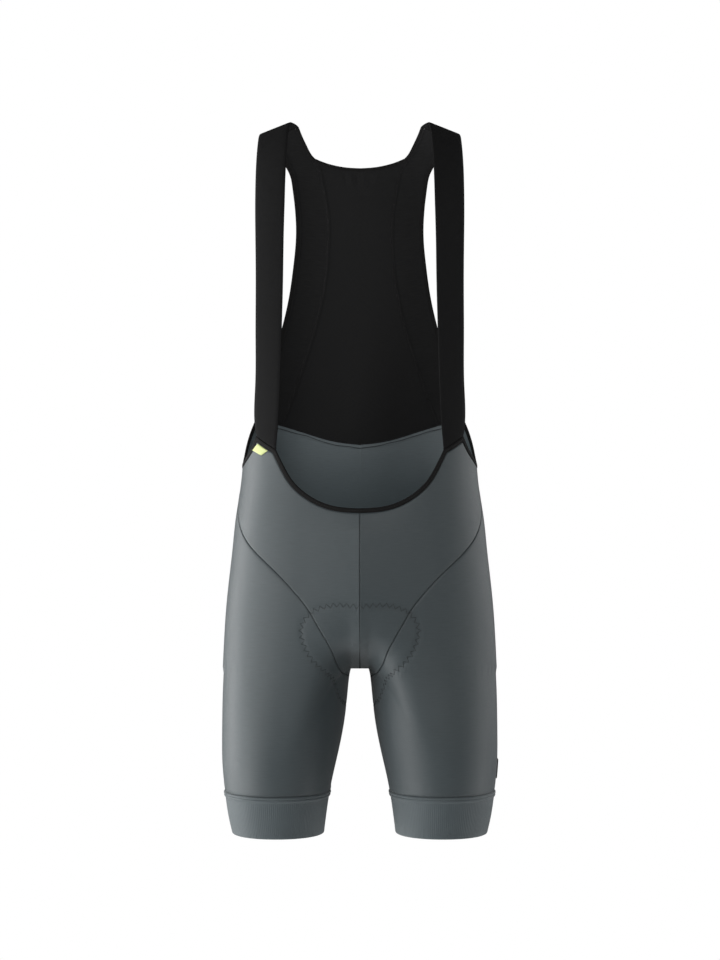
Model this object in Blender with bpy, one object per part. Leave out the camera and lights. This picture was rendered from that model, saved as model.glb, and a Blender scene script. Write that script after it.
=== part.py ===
"""Cycling bib shorts, filled out as they are worn, with nobody in them.

Every size is in millimetres, and each finished mesh is scaled to metres once. +Z is up, the front faces
-Y and the wearer's left is +X. The origin is midway between the two shoulder straps, where they bear on
the shoulders. The cloth lies on one smooth form, a torso that runs into two legs, and a place on it is
given by two chart values: the way round, from 0 at the centre front to 1 at the centre back, and the
height. Each piece of cloth is a patch of that chart with its own four sides, given a wall's thickness.
"""

import math

import bmesh
import bpy
import numpy as np
from mathutils.bvhtree import BVHTree

# The form that the cloth lies on.
CROTCH_Z = -690.0
CROTCH_Y = 7.5
CROTCH_ROUND = 118.0  # the height over which the torso rounds under to the crotch
SADDLE_REACH = 80.0  # how far out from the crotch, and how far down the leg, the torso's roundness fades
SADDLE_DROP = 120.0
SADDLE_EASE = 1.2
SADDLE_SOFTNESS = 0.3
SADDLE_SQUARENESS = 2.4
TORSO_SQUARENESS = 2.35  # exponent of the torso's section: 2 is an ellipse
LEG_SQUARENESS = 2.1
SHOULDER_Z = 7.7  # the shoulder line, at the straps' neck side
SHOULDER_X = 86.0
SHOULDER_FALL = 0.385
SHOULDER_SQUARENESS = 2.2
SHOULDER_ROUND = {"front": 120.0, "back": 110.0}
FAN = 110.0  # over the shoulders the form is read along a fan of rays from this far below the shoulder line
FAN_FLOOR = -130.0

SECTION_COLUMNS = ("height", "half_width", "front", "back")
SECTIONS = (
    (-915.0, 158.0, 65.0, 63.0),
    (-900.0, 161.6, 67.5, 65.5),
    (-880.0, 166.2, 71.0, 69.0),
    (-860.0, 169.4, 75.0, 73.0),
    (-835.0, 172.3, 79.5, 77.5),
    (-810.0, 174.4, 83.6, 82.4),
    (-785.0, 174.9, 87.0, 87.6),
    (-755.0, 174.7, 90.0, 93.6),
    (-720.0, 174.1, 92.0, 101.0),
    (CROTCH_Z, 173.0, 93.4, 108.4),
    (-660.0, 172.2, 95.6, 114.0),
    (-620.0, 170.3, 99.6, 119.5),
    (-580.0, 166.6, 103.0, 118.0),
    (-540.0, 162.0, 104.0, 111.0),
    (-500.0, 157.8, 103.0, 102.0),
    (-465.0, 152.4, 101.0, 94.5),
    (-430.0, 148.8, 99.0, 90.0),
    (-380.0, 149.5, 98.0, 90.0),
    (-320.0, 154.0, 99.5, 95.0),
    (-250.0, 159.5, 102.0, 103.0),
    (-180.0, 164.0, 103.5, 108.5),
    (-110.0, 166.5, 103.0, 110.0),
    (-40.0, 167.5, 100.0, 107.0),
    (20.0, 168.0, 97.0, 103.0),
)
INNER_LEG_COLUMNS = ("height", "inner")
INNER_LEG = (
    (-915.0, 48.0),
    (-900.0, 46.8),
    (-880.0, 44.4),
    (-860.0, 41.6),
    (-835.0, 37.2),
    (-810.0, 31.6),
    (-785.0, 26.0),
    (-755.0, 20.6),
    (-725.0, 17.2),
    (-705.0, 15.2),
    (-697.0, 14.0),
    (CROTCH_Z, 12.2),
)

# The seams, in chart places (around, height) on one half: the edges of the cloth, not of the bindings.
INSEAM_TOP_Z = -706.0
GRIPPER_TOP_Z = -846.0
HEM_Z = -900.0
SIDE_TOP = (0.5, -436.0)
SIDE_LOW = (0.5, -462.0)
FRONT_PEAK = (0.294, -402.5)
SCOOP_END = (0.221, -416.5)
CENTRE_FRONT_TOP_Z = -491.0

FRONT_CURVE = (
    (0.0, INSEAM_TOP_Z),
    (0.05, -698.5),
    (0.1, -693.0),
    (0.078, -681.0),
    (0.07, -662.0),
    (0.075, -644.0),
    (0.086, -627.0),
    (0.1, -611.0),
    (0.122, -595.5),
    (0.163, -574.5),
    (0.222, -553.0),
    (0.279, -536.0),
    (0.327, -521.5),
    (0.375, -505.0),
    (0.438, -482.0),
    SIDE_LOW,
)
BACK_CURVE = (
    (1.0, INSEAM_TOP_Z),
    (0.95, -698.5),
    (0.895, -693.0),
    (0.925, -681.0),
    (0.9, -672.0),
    (0.872, -652.0),
    (0.835, -618.0),
    (0.785, -580.0),
    (0.715, -541.0),
    (0.64, -507.0),
    (0.57, -481.0),
    SIDE_LOW,
)
SCOOP = (
    (0.0, CENTRE_FRONT_TOP_Z),
    (0.036, -489.3),
    (0.073, -483.6),
    (0.117, -471.5),
    (0.156, -456.5),
    (0.184, -441.0),
    (0.203, -428.5),
    SCOOP_END,
)
FRONT_SIDE_EDGE = (FRONT_PEAK, (0.32, -413.5), (0.365, -424.5), (0.425, -432.5), SIDE_TOP)
BACK_SIDE_EDGE = (  # from the waist seam's end
    (0.662, -373.6),
    (0.618, -393.5),
    (0.58, -411.5),
    (0.545, -426.5),
    SIDE_TOP,
)

UNDER_CROTCH_Z = CROTCH_Z - 0.02  # just under the crotch, the legs' inner sides stand clear of the middle

# The seat pad's edge, in chart places on one half, front and back.
PAD_UNDER = (CROTCH_Z, UNDER_CROTCH_Z, -694.0, -699.0, -706.0, -713.0, -721.0, -729.0, -737.0)
PAD_FRONT_TOP_Z = -600.0
PAD_BACK_TOP_Z = -566.0
PAD_FRONT_SIDE = (
    (0.0, PAD_UNDER[-1]),
    (0.055, -733.0),
    (0.1, -723.0),
    (0.125, -707.0),
    (0.127, -668.0),
    (0.127, -650.0),
    (0.121, -631.0),
    (0.096, -610.0),
)
PAD_FRONT_EDGE = ((0.0, PAD_FRONT_TOP_Z), (0.057, -601.0), (0.096, -610.0))
PAD_BACK_SIDE = (
    (1.0, PAD_UNDER[-1]),
    (0.945, -732.0),
    (0.895, -720.0),
    (0.86, -700.0),
    (0.842, -670.0),
    (0.842, -635.0),
    (0.86, -603.0),
    (0.893, -577.0),
)
PAD_BACK_EDGE = ((1.0, PAD_BACK_TOP_Z), (0.945, -568.0), (0.893, -577.0))
PAD_ROWS = {"front": 12, "back": 14}

# The bib, in places (x, drop) behind the shoulder line: how far out, and how far down from that line.
WAIST_SEAM = ((0.0, 444.6), (36.0, 426.2), (70.0, 403.3), (103.0, 380.5), (131.0, 364.0))
SHOULDER_SEAM_DROP = 18.0
MESH_SEAM = (
    (103.0, 380.5),
    (90.5, 353.0),
    (81.0, 327.5),
    (71.2, 301.0),
    (62.1, 275.0),
    (49.5, 227.0),
    (44.5, 195.0),
    (42.4, 165.5),
    (42.0, 143.0),
    (43.8, 116.0),
    (49.5, 90.0),
    (55.0, 73.5),
    (61.5, 64.3),
)
ARMHOLE = (
    (131.0, 364.0),
    (121.5, 335.0),
    (110.5, 298.0),
    (96.0, 251.0),
    (87.0, 212.0),
    (81.8, 175.0),
    (78.8, 143.0),
    (79.8, 105.0),
    (83.0, 83.0),
    (87.0, 66.5),
    (92.0, 57.0),
    (98.5, 44.5),
    (105.5, 31.5),
    (112.0, SHOULDER_SEAM_DROP),
)
NECK_SIDE = (
    (61.5, 64.3),
    (65.2, 60.4),
    (70.3, 52.8),
    (74.0, 45.3),
    (77.7, 37.0),
    (80.6, 29.0),
    (83.4, SHOULDER_SEAM_DROP),
)
NECKLINE = ((0.0, 90.9), (18.0, 85.4), (36.0, 78.3), (50.0, 71.3), (61.5, 64.3))
STRAP_COLUMNS = ("drop", "inner", "outer")
STRAP = (
    (-400.0, 103.0, 130.6),
    (-380.0, 101.5, 130.6),
    (-320.0, 98.6, 131.0),
    (-260.0, 96.6, 130.4),
    (-200.0, 95.0, 130.0),
    (-150.0, 94.2, 130.2),
    (-115.0, 93.2, 130.6),
    (-80.0, 92.0, 130.6),
    (-50.0, 90.4, 130.0),
    (-25.0, 88.6, 128.8),
    (0.0, 85.6, 126.0),
    (SHOULDER_SEAM_DROP, 78.6, 118.6),
)

# Walls, and how far each starts outside the form.
GAP = 0.3
SHARPEST_MITRE = 0.12
STRETCH_FABRIC = 1.2
MESH_FABRIC = 1.0
STRAP_ELASTIC = 1.4
BINDING = 2.2
BINDING_START = -0.5
BINDING_EDGE_SHARE = 0.85  # how thick the binding is at its edges, beside its middle
EDGE_BINDING_WIDTH = 6.0
NECK_BINDING_WIDTH = 5.0
GRIPPER_ELASTIC = 1.3
GRIPPER_RIDGE = 1.0
GRIPPER_RIDGE_HEIGHT = 6.0
GRIPPER_RIDGE_RISE = 1.0  # the height over which the ridge swells and ends
GRIPPER_LEVELS = (-882.0, -864.0)
PAD_CLEARANCE = 2.6
PAD_DEEPEST = 7.0
PAD_FITTINGS = 5
PAD_RIM = 1.6
PAD_SWELL = 6.0

# Small trims: the folded tab at the foot of one strap, and the label on the other thigh.
TAB_CORNERS = ((0.325, -412.2), (0.273, -418.9), (0.292, -404.8), (0.243, -414.2))
TAB_THICKNESS = 1.2
LABEL_CORNERS = ((0.486, -831.0), (0.514, -831.0), (0.486, -806.0), (0.514, -806.0))
LABEL_THICKNESS = 1.1

# How many steps the sides of the patches have. Pieces that meet share their steps.
SCOOP_STEPS = 9
STRAP_FOOT_STEPS = 2
FRONT_SIDE_STEPS = 4
WAIST_STEPS = 7
WAIST_END_STEPS = 3
BACK_SIDE_STEPS = 5
BACK_SIDE_FINE = 60
CENTRE_STEPS = 10
CENTRE_GATHER = 1.5
CROTCH_STEPS = 4
CURVE_STEPS = CENTRE_STEPS + SCOOP_STEPS + STRAP_FOOT_STEPS + FRONT_SIDE_STEPS
LEG_ROWS = 10
MESH_ROWS = 12
YOKE_NECK_ROWS = 4
STRAP_ROWS = 26
NECKLINE_STEPS = WAIST_STEPS

UP = (0.0, 0.0, 1.0)
METRES = 0.001
MERGE = 1e-6
TINY = 1e-9
SHARP = math.radians(50)
NUDGE = 0.05
FARTHEST = 260.0  # further out than any of the form
HALVINGS = 34
FINE_STEPS = 400
SETTLING_ROUNDS = 12
LEAST_MITRE = 0.5
LEAST_SLANT = 0.3
TRIM_STEPS = 3


def spline(knots, values, at):
    """A smooth curve through the knots, read at any place between the first and the last."""
    knots, values = np.asarray(knots, float), np.asarray(values, float)
    gap, rise = np.diff(knots), np.diff(values, axis=0)
    size = len(knots)
    system = np.eye(size)
    bend = np.zeros(values.shape)
    for i in range(1, size - 1):
        system[i, i - 1 : i + 2] = gap[i - 1], 2 * (gap[i - 1] + gap[i]), gap[i]
        bend[i] = 6 * (rise[i] / gap[i] - rise[i - 1] / gap[i - 1])
    bend = np.linalg.solve(system, bend)
    at = np.clip(at, knots[0], knots[-1])
    i = np.clip(np.searchsorted(knots, at, side="right") - 1, 0, size - 2)
    along = at - knots[i]
    left = knots[i + 1] - at
    if values.ndim > 1:
        along, left, gap = along[..., None], left[..., None], gap[:, None]
    return (
        (bend[i] * left**3 + bend[i + 1] * along**3) / (6 * gap[i])
        + (values[i] / gap[i] - bend[i] * gap[i] / 6) * left
        + (values[i + 1] / gap[i] - bend[i + 1] * gap[i] / 6) * along
    )


def column(table, columns, name, height):
    """One column of a table of sections, read at a height."""
    rows = np.array(table)
    return spline(rows[:, 0], rows[:, columns.index(name)], height)


def section(name, height):
    return column(SECTIONS, SECTION_COLUMNS, name, height)


def leg_sides(height):
    """The inner and outer reach of a leg's section. Above the crotch it goes on as a guide only."""
    return column(INNER_LEG, INNER_LEG_COLUMNS, "inner", height), section("half_width", height)


def leg_middle(height):
    """The middle of the leg's section, and above the crotch a line up through the hip."""
    y = (section("back", height) - section("front", height)) / 2
    return sum(leg_sides(height)) / 2, np.where(height >= CROTCH_Z, CROTCH_Y, y)


def shoulder_height(x):
    return SHOULDER_Z - (np.abs(x) - SHOULDER_X) * SHOULDER_FALL


def shoulder_share(drop, side):
    """How much of the torso's depth there is at a drop below the shoulder line."""
    left = 1 - np.clip(drop / SHOULDER_ROUND[side], 0, 1)
    return (1 - left**SHOULDER_SQUARENESS) ** (1 / SHOULDER_SQUARENESS)


def rounded(ratio, squareness):
    """The squared depth of a section at a share of the way out to its side, negative past the side."""
    left = 1 - ratio**squareness
    return np.sign(left) * np.abs(left) ** (2 / squareness)


def form_excess(x, y, z):
    """How far a point's squared depth passes the form's: negative inside it and zero on it.

    The torso's section turns smoothly into the two legs', over the saddle at the crotch.
    """
    off = np.abs(x)
    inner, outer = leg_sides(z)
    half_width = (outer - inner) / 2
    reached = np.clip((off - inner) / SADDLE_REACH, 0, 1)
    reached = reached**2 * (3 - 2 * reached)
    saddle = CROTCH_ROUND + SADDLE_DROP * reached
    sunk = np.clip((CROTCH_Z + CROTCH_ROUND - z) / saddle, 0, 1)
    torso_share = rounded(sunk, SADDLE_SQUARENESS) ** (1 + SADDLE_EASE * reached)
    legs = rounded(np.abs(off - inner - half_width) / half_width, LEG_SQUARENESS)
    softened = (legs + np.hypot(legs, SADDLE_SOFTNESS * torso_share)) / 2
    legs = np.where(z >= CROTCH_Z, softened, legs)
    squared = (1 - torso_share) * legs + torso_share * rounded(off / outer, TORSO_SQUARENESS)
    middle = leg_middle(z)[1]
    fall = shoulder_height(x) - z
    front = (section("front", z) + middle) * shoulder_share(fall, "front")
    back = (section("back", z) - middle) * shoulder_share(fall, "back")
    return (y - middle) ** 2 - np.where(y < middle, front, back) ** 2 * squared


def reach(start_x, start_y, way_x, way_y, z):
    """How far the form reaches from a point inside it, along a level direction and up to the middle plane."""
    near, far = np.zeros(np.shape(z)), np.full(np.shape(z), FARTHEST)
    for _ in range(HALVINGS):
        middle = (near + far) / 2
        x = start_x + way_x * middle
        inside = (form_excess(x, start_y + way_y * middle, z) < 0) & (x * np.sign(start_x) > -TINY)
        near, far = np.where(inside, middle, near), np.where(inside, far, middle)
    return near


def cloth_point(chart):
    """The points on the form for chart rows of (way round, height). Past 1 it is the wearer's right."""
    chart = np.asarray(chart, float)
    around, z = chart[..., 0] % 2, chart[..., 1]
    side = np.where(around > 1, -1.0, 1.0)
    around = np.where(around > 1, 2 - around, around)
    middle_x, middle_y = leg_middle(z)
    level = np.zeros(z.shape)
    above = z >= CROTCH_Z
    front = np.where(above, reach(level, level + CROTCH_Y, level, level - 1, z), 0)
    back = np.where(above, reach(level, level + CROTCH_Y, level, level + 1, z), 0)
    start, end = np.arctan2(front, middle_x), 2 * math.pi - np.arctan2(back, middle_x)
    turn = np.where(
        around < 0.5,
        start + (math.pi - start) * 2 * around,
        math.pi + (end - math.pi) * (2 * around - 1),
    )
    way_x, way_y = -np.cos(turn), -np.sin(turn)
    far = reach(middle_x, middle_y, way_x, way_y, z)
    x = np.where(above & (np.minimum(around, 1 - around) < TINY), 0, middle_x + way_x * far)
    return np.stack([x * side, middle_y + way_y * far, z], axis=-1)


def over_shoulder(places):
    """Points on the form for rows of (x, drop): drop runs down from the shoulder line, positive behind it."""
    x, drop = places[..., 0], places[..., 1]
    turn = np.clip(np.abs(drop) / FAN, 0, 1) * math.pi / 2
    height = shoulder_height(x) - np.maximum(np.abs(drop), FAN)
    way_y, way_z = np.sign(drop + TINY) * np.sin(turn), np.cos(turn)
    near, far = np.zeros(x.shape), np.full(x.shape, FARTHEST)
    for _ in range(HALVINGS):
        middle = (near + far) / 2
        inside = form_excess(x, CROTCH_Y + way_y * middle, height + way_z * middle) < 0
        near, far = np.where(inside, middle, near), np.where(inside, far, middle)
    return np.stack([x, CROTCH_Y + way_y * near, height + way_z * near], axis=-1)


def shoulder_place(points):
    """The (x, drop) that over_shoulder turns into these points."""
    x, y, z = points[..., 0], points[..., 1] - CROTCH_Y, points[..., 2]
    fall = shoulder_height(x) - z
    turn = np.arctan2(np.abs(y), FAN - fall)
    return np.stack([x, np.sign(y) * np.where(fall < FAN, turn / (math.pi / 2) * FAN, fall)], axis=-1)


def on_level(points):
    """Points near the form, put back on it: on level rays low down, and on the fan over the shoulders."""
    x, y, z = points[..., 0], points[..., 1], points[..., 2]
    middle_x, middle_y = leg_middle(z)
    middle_x = middle_x * np.where(x < 0, -1, 1)
    far = np.hypot(x - middle_x, y - middle_y)
    way_x, way_y = (x - middle_x) / far, (y - middle_y) / far
    length = reach(middle_x, middle_y, way_x, way_y, z)
    low = np.stack([middle_x + way_x * length, middle_y + way_y * length, z], axis=-1)
    return np.where((z < FAN_FLOOR)[..., None], low, over_shoulder(shoulder_place(points)))


def slope_at(points):
    """How steeply the form's excess rises along each axis."""
    slope = np.empty(points.shape)
    for axis in range(3):
        ahead, behind = points.copy(), points.copy()
        ahead[..., axis] += NUDGE
        behind[..., axis] -= NUDGE
        rise = form_excess(*np.moveaxis(ahead, -1, 0)) - form_excess(*np.moveaxis(behind, -1, 0))
        slope[..., axis] = rise / (2 * NUDGE)
    return slope


def settled(points):
    """Points near the form, brought onto it down its slope. The ends of each row and column stay."""
    for _ in range(SETTLING_ROUNDS):
        slope = slope_at(points)
        excess = form_excess(*np.moveaxis(points, -1, 0))[..., None]
        move = excess * slope / np.sum(slope**2, axis=-1, keepdims=True)
        for edge in (0, -1):
            move[edge] = 0
            if points.ndim > 2:
                move[:, edge] = 0
        points = points - move
    return points


def outward(points):
    """The form's unit normals at points on it."""
    place = shoulder_place(points)
    across = over_shoulder(place + [NUDGE, 0]) - over_shoulder(place - [NUDGE, 0])
    down = over_shoulder(place + [0, NUDGE]) - over_shoulder(place - [0, NUDGE])
    normal = np.where((points[..., 2] < FAN_FLOOR)[..., None], slope_at(points), np.cross(across, down))
    return normal / np.linalg.norm(normal, axis=-1, keepdims=True)


def along(points):
    """How far along a run of points each one is."""
    return np.concatenate([[0], np.cumsum(np.linalg.norm(np.diff(points, axis=0), axis=1))])


def spaced(points, count, gather=1.0):
    """Points in count steps along a finely sampled curve: even ones, or gathered towards its start."""
    run = along(points)
    at = run[-1] * np.linspace(0, 1, count + 1) ** gather
    return np.stack([np.interp(at, run, points[:, axis]) for axis in range(points.shape[1])], axis=-1)


def seam(rows, count):
    """Points in count even steps along the smooth curve on the form through the chart places of a table."""
    knots = cloth_point(rows)
    run = along(knots)
    points = spaced(settled(spline(run, knots, np.linspace(0, run[-1], FINE_STEPS))), count)
    return settled(points)


def even(rows, count):
    """Shoulder places in count steps along the smooth curve through those of a table, even on the form."""
    rows = np.array(rows, float)
    run = along(over_shoulder(rows))
    fine = spline(run, rows, np.linspace(0, run[-1], FINE_STEPS))
    run = along(over_shoulder(fine))
    at = np.linspace(0, run[-1], count + 1)
    return np.stack([np.interp(at, run, fine[:, 0]), np.interp(at, run, fine[:, 1])], axis=-1)


def chain(*stretches):
    """Sampled curves end to end, each joint kept once."""
    return np.concatenate([stretches[0]] + [stretch[1:] for stretch in stretches[1:]])


def line(start, end, count):
    return np.linspace(start, end, count + 1)


def patch(bottom, top, left, right):
    """A grid of places between four sampled sides, which meet at their ends."""
    s = np.linspace(0, 1, len(bottom))[None, :, None]
    t = np.linspace(0, 1, len(left))[:, None, None]
    own_left = left[:, None] - ((1 - t) * left[0] + t * left[-1])
    own_right = right[:, None] - ((1 - t) * right[0] + t * right[-1])
    return (1 - t) * bottom + t * top + (1 - s) * own_left + s * own_right


def rim_loops(rows, columns, ring):
    """The rims of a grid as closed runs of row and column numbers: one all round, or two on a ring."""
    across, up = np.arange(columns - 1), np.arange(rows - 1)
    if ring:
        return [(np.full(across.shape, row), across) for row in (0, rows - 1)]
    row = np.concatenate([0 * across, up, 0 * across + rows - 1, rows - 1 - up])
    column = np.concatenate([across, 0 * up + columns - 1, columns - 1 - across, 0 * up])
    return [(row, column)]


def drawn_in(points, normals, ring):
    """The grid with each free rim drawn in by half the gap that pieces keep at a seam, and mitred."""
    moved = points.copy()
    rows, columns = points.shape[:2]
    for loop in rim_loops(rows, columns, ring):
        run = np.roll(points[loop], -1, axis=0) - points[loop]
        before = np.cross(normals[loop], np.roll(run, 1, axis=0))
        after = np.cross(normals[loop], run)
        before /= np.linalg.norm(before, axis=1, keepdims=True)
        after /= np.linalg.norm(after, axis=1, keepdims=True)
        opening = 1 + np.sum(before * after, axis=1, keepdims=True)
        mitre = (before + after) / np.maximum(opening, SHARPEST_MITRE)
        middle = columns // 2
        beside = abs(loop[0][middle] - 1), loop[1][middle]
        inward = points[beside] - points[loop][middle]
        moved[loop] += mitre * np.sign(np.dot(mitre[middle], inward)) * GAP / 2
    if ring:
        moved[:, -1] = moved[:, 0]
    return moved


def wall(name, points, inner, outer, finish, ring=False, mirrored=False):
    """One piece of cloth from a grid of points on the form: a wall between two distances outside it."""
    normals = outward(points)
    if ring:
        normals[:, -1] = normals[:, 0]
    points = drawn_in(points, normals, ring)
    inner = np.broadcast_to(inner, points.shape[:2])[..., None]
    outer = np.broadcast_to(outer, points.shape[:2])[..., None]
    faces = {0: points + normals * inner, 1: points + normals * outer}
    if mirrored:
        faces = {layer: face * (-1, 1, 1) for layer, face in faces.items()}
    rows, columns = points.shape[:2]
    work = bmesh.new()
    spot = work.verts.layers.int.new("spot")
    bmesh.ops.create_grid(work, x_segments=columns - 1, y_segments=rows - 1, size=1.0)
    for vert in work.verts:
        column = round((vert.co.x + 1) / 2 * (columns - 1))
        row = round((vert.co.y + 1) / 2 * (rows - 1))
        vert[spot] = row * columns + column
        vert.co = faces[0][row, column] * METRES
    made = bmesh.ops.extrude_face_region(work, geom=work.faces[:], use_keep_orig=True)
    for vert in made["geom"]:
        if isinstance(vert, bmesh.types.BMVert):
            row, column = divmod(vert[spot], columns)
            vert.co = faces[1][row, column] * METRES
    if ring:
        inner_ends = [f for f in work.faces if {v[spot] % columns for v in f.verts} <= {0}]
        outer_ends = [f for f in work.faces if {v[spot] % columns for v in f.verts} <= {columns - 1}]
        bmesh.ops.delete(work, geom=inner_ends + outer_ends, context="FACES_ONLY")
        bmesh.ops.remove_doubles(work, verts=work.verts[:], dist=MERGE)
    bmesh.ops.recalc_face_normals(work, faces=work.faces[:])
    mesh = bpy.data.meshes.new(name)
    work.to_mesh(mesh)
    work.free()
    mesh.shade_smooth()
    mesh.set_sharp_from_angle(angle=SHARP)
    mesh.materials.append(finish)
    piece = bpy.data.objects.new(name, mesh)
    bpy.context.scene.collection.objects.link(piece)
    return piece


def strip(edge, width, first=None, last=None):
    """A grid of points for a strip along an edge, on its left going along it, over three rows."""
    normals = outward(edge)
    run = np.diff(edge, axis=0)
    run /= np.linalg.norm(run, axis=1, keepdims=True)
    before, after = np.vstack([run[:1], run]), np.vstack([run, run[-1:]])
    way = np.cross(normals, before + after)
    way /= np.linalg.norm(way, axis=1, keepdims=True)
    square = np.cross(normals, before)
    square /= np.linalg.norm(square, axis=1, keepdims=True)
    way /= np.clip(np.sum(way * square, axis=1, keepdims=True), LEAST_MITRE, 1)
    if first is not None:
        way[0] = np.array(first) / max(np.dot(first, way[0]), LEAST_SLANT)
    if last is not None:
        way[-1] = np.array(last) / max(np.dot(last, way[-1]), LEAST_SLANT)
    return np.stack([edge] + [on_level(edge + way * width * share) for share in (0.5, 1.0)])


def material(name, colour, roughness):
    """A fabric's plain finish."""
    finish = bpy.data.materials.new(name)
    finish.use_nodes = True
    surface = finish.node_tree.nodes["Principled BSDF"]
    surface.inputs["Base Color"].default_value = (*colour, 1.0)
    surface.inputs["Roughness"].default_value = roughness
    return finish


def mirror_round(half):
    """A run of points on the wearer's left, carried on to the right through its first point."""
    return np.concatenate([(half * (-1, 1, 1))[::-1], half[1:]])


def seam_lines():
    """The seams that pieces share: points on the wearer's left, or shoulder places for those of the bib."""
    waist = even(WAIST_SEAM[:4], WAIST_STEPS)
    waist_end = even(WAIST_SEAM[3:], WAIST_END_STEPS)
    whole_waist = over_shoulder(chain(waist, waist_end))
    corner = whole_waist[-1]
    side_edge = np.vstack([corner, seam(BACK_SIDE_EDGE, BACK_SIDE_FINE)[1:]])
    return {
        "front curve": seam(FRONT_CURVE, CURVE_STEPS),
        "back curve": seam(BACK_CURVE, CURVE_STEPS),
        "front edge": chain(
            seam(SCOOP, SCOOP_STEPS),
            seam((SCOOP_END, FRONT_PEAK), STRAP_FOOT_STEPS),
            seam(FRONT_SIDE_EDGE, FRONT_SIDE_STEPS),
        ),
        "waist": waist,
        "waist end": waist_end,
        "whole waist": whole_waist,
        "side": seam((SIDE_LOW, SIDE_TOP), 2 * CROTCH_STEPS),
        "back edge": settled(spaced(side_edge, BACK_SIDE_STEPS)),
        "mesh seam": even(MESH_SEAM, MESH_ROWS),
        "neck side": even(NECK_SIDE, YOKE_NECK_ROWS),
        "armhole": even(ARMHOLE, MESH_ROWS + YOKE_NECK_ROWS),
        "neckline": even(NECKLINE, NECKLINE_STEPS),
    }


def crotch_seam():
    """The short seam that the front and the back share under the crotch, from the inner leg to the middle."""
    down = cloth_point(line((0.0, INSEAM_TOP_Z), (0.0, UNDER_CROTCH_Z), CROTCH_STEPS))
    return chain(down, line(down[-1], cloth_point((0.0, CROTCH_Z)), CROTCH_STEPS))


def centre_seam(around, top):
    """The seam down the middle of the front or the back, from the crotch up."""
    middle = cloth_point(line((around, CROTCH_Z), (around, top), FINE_STEPS))
    return spaced(middle, CENTRE_STEPS, CENTRE_GATHER)


def front_panel(lines):
    top = chain(centre_seam(0.0, CENTRE_FRONT_TOP_Z), lines["front edge"])
    return settled(patch(lines["front curve"], top, crotch_seam(), lines["side"]))


def back_panel(lines):
    waist = lines["whole waist"]
    top = chain(centre_seam(1.0, waist[0, 2]), waist, lines["back edge"])
    return settled(patch(lines["back curve"], top, crotch_seam(), lines["side"]))


def leg_panel(lines):
    top = chain(lines["front curve"], lines["back curve"][::-1])
    bottom = cloth_point(line((0.0, GRIPPER_TOP_Z), (1.0, GRIPPER_TOP_Z), 2 * CURVE_STEPS))
    inner = cloth_point(line((0.0, GRIPPER_TOP_Z), (0.0, INSEAM_TOP_Z), LEG_ROWS))
    return settled(patch(bottom, top, inner, inner))


def gripper():
    """The band at the hem, with the turned and stitched ridge at its top, and how far out it stands."""
    ridge_low, rise = GRIPPER_TOP_Z - GRIPPER_RIDGE_HEIGHT, GRIPPER_RIDGE_RISE
    ridge = (ridge_low - rise, ridge_low + rise, GRIPPER_TOP_Z - rise)
    heights = np.array([HEM_Z, *GRIPPER_LEVELS, *ridge, GRIPPER_TOP_Z])
    around = line(0.0, 1.0, 2 * CURVE_STEPS)
    places = np.stack(np.meshgrid(around, heights), axis=-1)
    raised = (heights > ridge_low) & (heights < GRIPPER_TOP_Z)
    return cloth_point(places), (GRIPPER_ELASTIC + GRIPPER_RIDGE * raised)[:, None]


def mesh_panel(lines):
    bottom = mirror_places(lines["waist"])
    seam = lines["mesh seam"]
    top = mirror_places(lines["neckline"])
    return over_shoulder(patch(bottom, top, seam * (-1, 1), seam))


def side_back(lines):
    inner = chain(lines["mesh seam"], lines["neck side"])
    outer = lines["armhole"]
    shoulder = line(inner[-1], outer[-1], WAIST_END_STEPS)
    return over_shoulder(patch(lines["waist end"], shoulder, inner, outer))


def along_seam(place, way):
    """The direction of the shoulder seam at a place on it, outwards for way 1 and inwards for way -1."""
    start, end = over_shoulder(np.array([place, place + (way, 0)]))
    return (end - start) / np.linalg.norm(end - start)


def mirror_places(half):
    return np.concatenate([(half * (-1, 1))[:0:-1], half])


def front_binding(lines):
    """The elastic that edges the front, from side to side by way of the strap's foot and the scoop."""
    return strip(mirror_round(lines["front edge"]), EDGE_BINDING_WIDTH, first=UP, last=UP)


def armhole_binding(lines):
    edge = np.concatenate([lines["back edge"][::-1], over_shoulder(lines["armhole"])[1:]])
    return strip(edge, EDGE_BINDING_WIDTH, first=UP, last=along_seam(lines["armhole"][-1], 1))


def neck_binding(lines):
    edge = over_shoulder(chain(lines["neckline"], lines["neck side"]))
    inward = along_seam(lines["neck side"][-1], -1)
    return strip(mirror_round(edge)[::-1], NECK_BINDING_WIDTH, first=inward, last=inward * (-1, 1, 1))


def strap(binding):
    """One strap, from the binding at its foot, up the front, over the shoulder to the seam behind it."""
    middle = SCOOP_STEPS + STRAP_FOOT_STEPS + FRONT_SIDE_STEPS
    foot = shoulder_place(binding[-1][middle + SCOOP_STEPS : middle + SCOOP_STEPS + STRAP_FOOT_STEPS + 1])
    rows = np.array(STRAP)
    drops = np.linspace(0, 1, STRAP_ROWS + 1)[1:, None]
    sides = []
    for corner, name in ((foot[0], "inner"), (foot[-1], "outer")):
        edge = np.stack([rows[1:, STRAP_COLUMNS.index(name)], rows[1:, 0]], axis=-1)
        sides.append(even(np.vstack([corner, edge]), STRAP_ROWS))
    return over_shoulder(patch(foot, line(sides[0][-1], sides[1][-1], STRAP_FOOT_STEPS), *sides))


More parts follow.
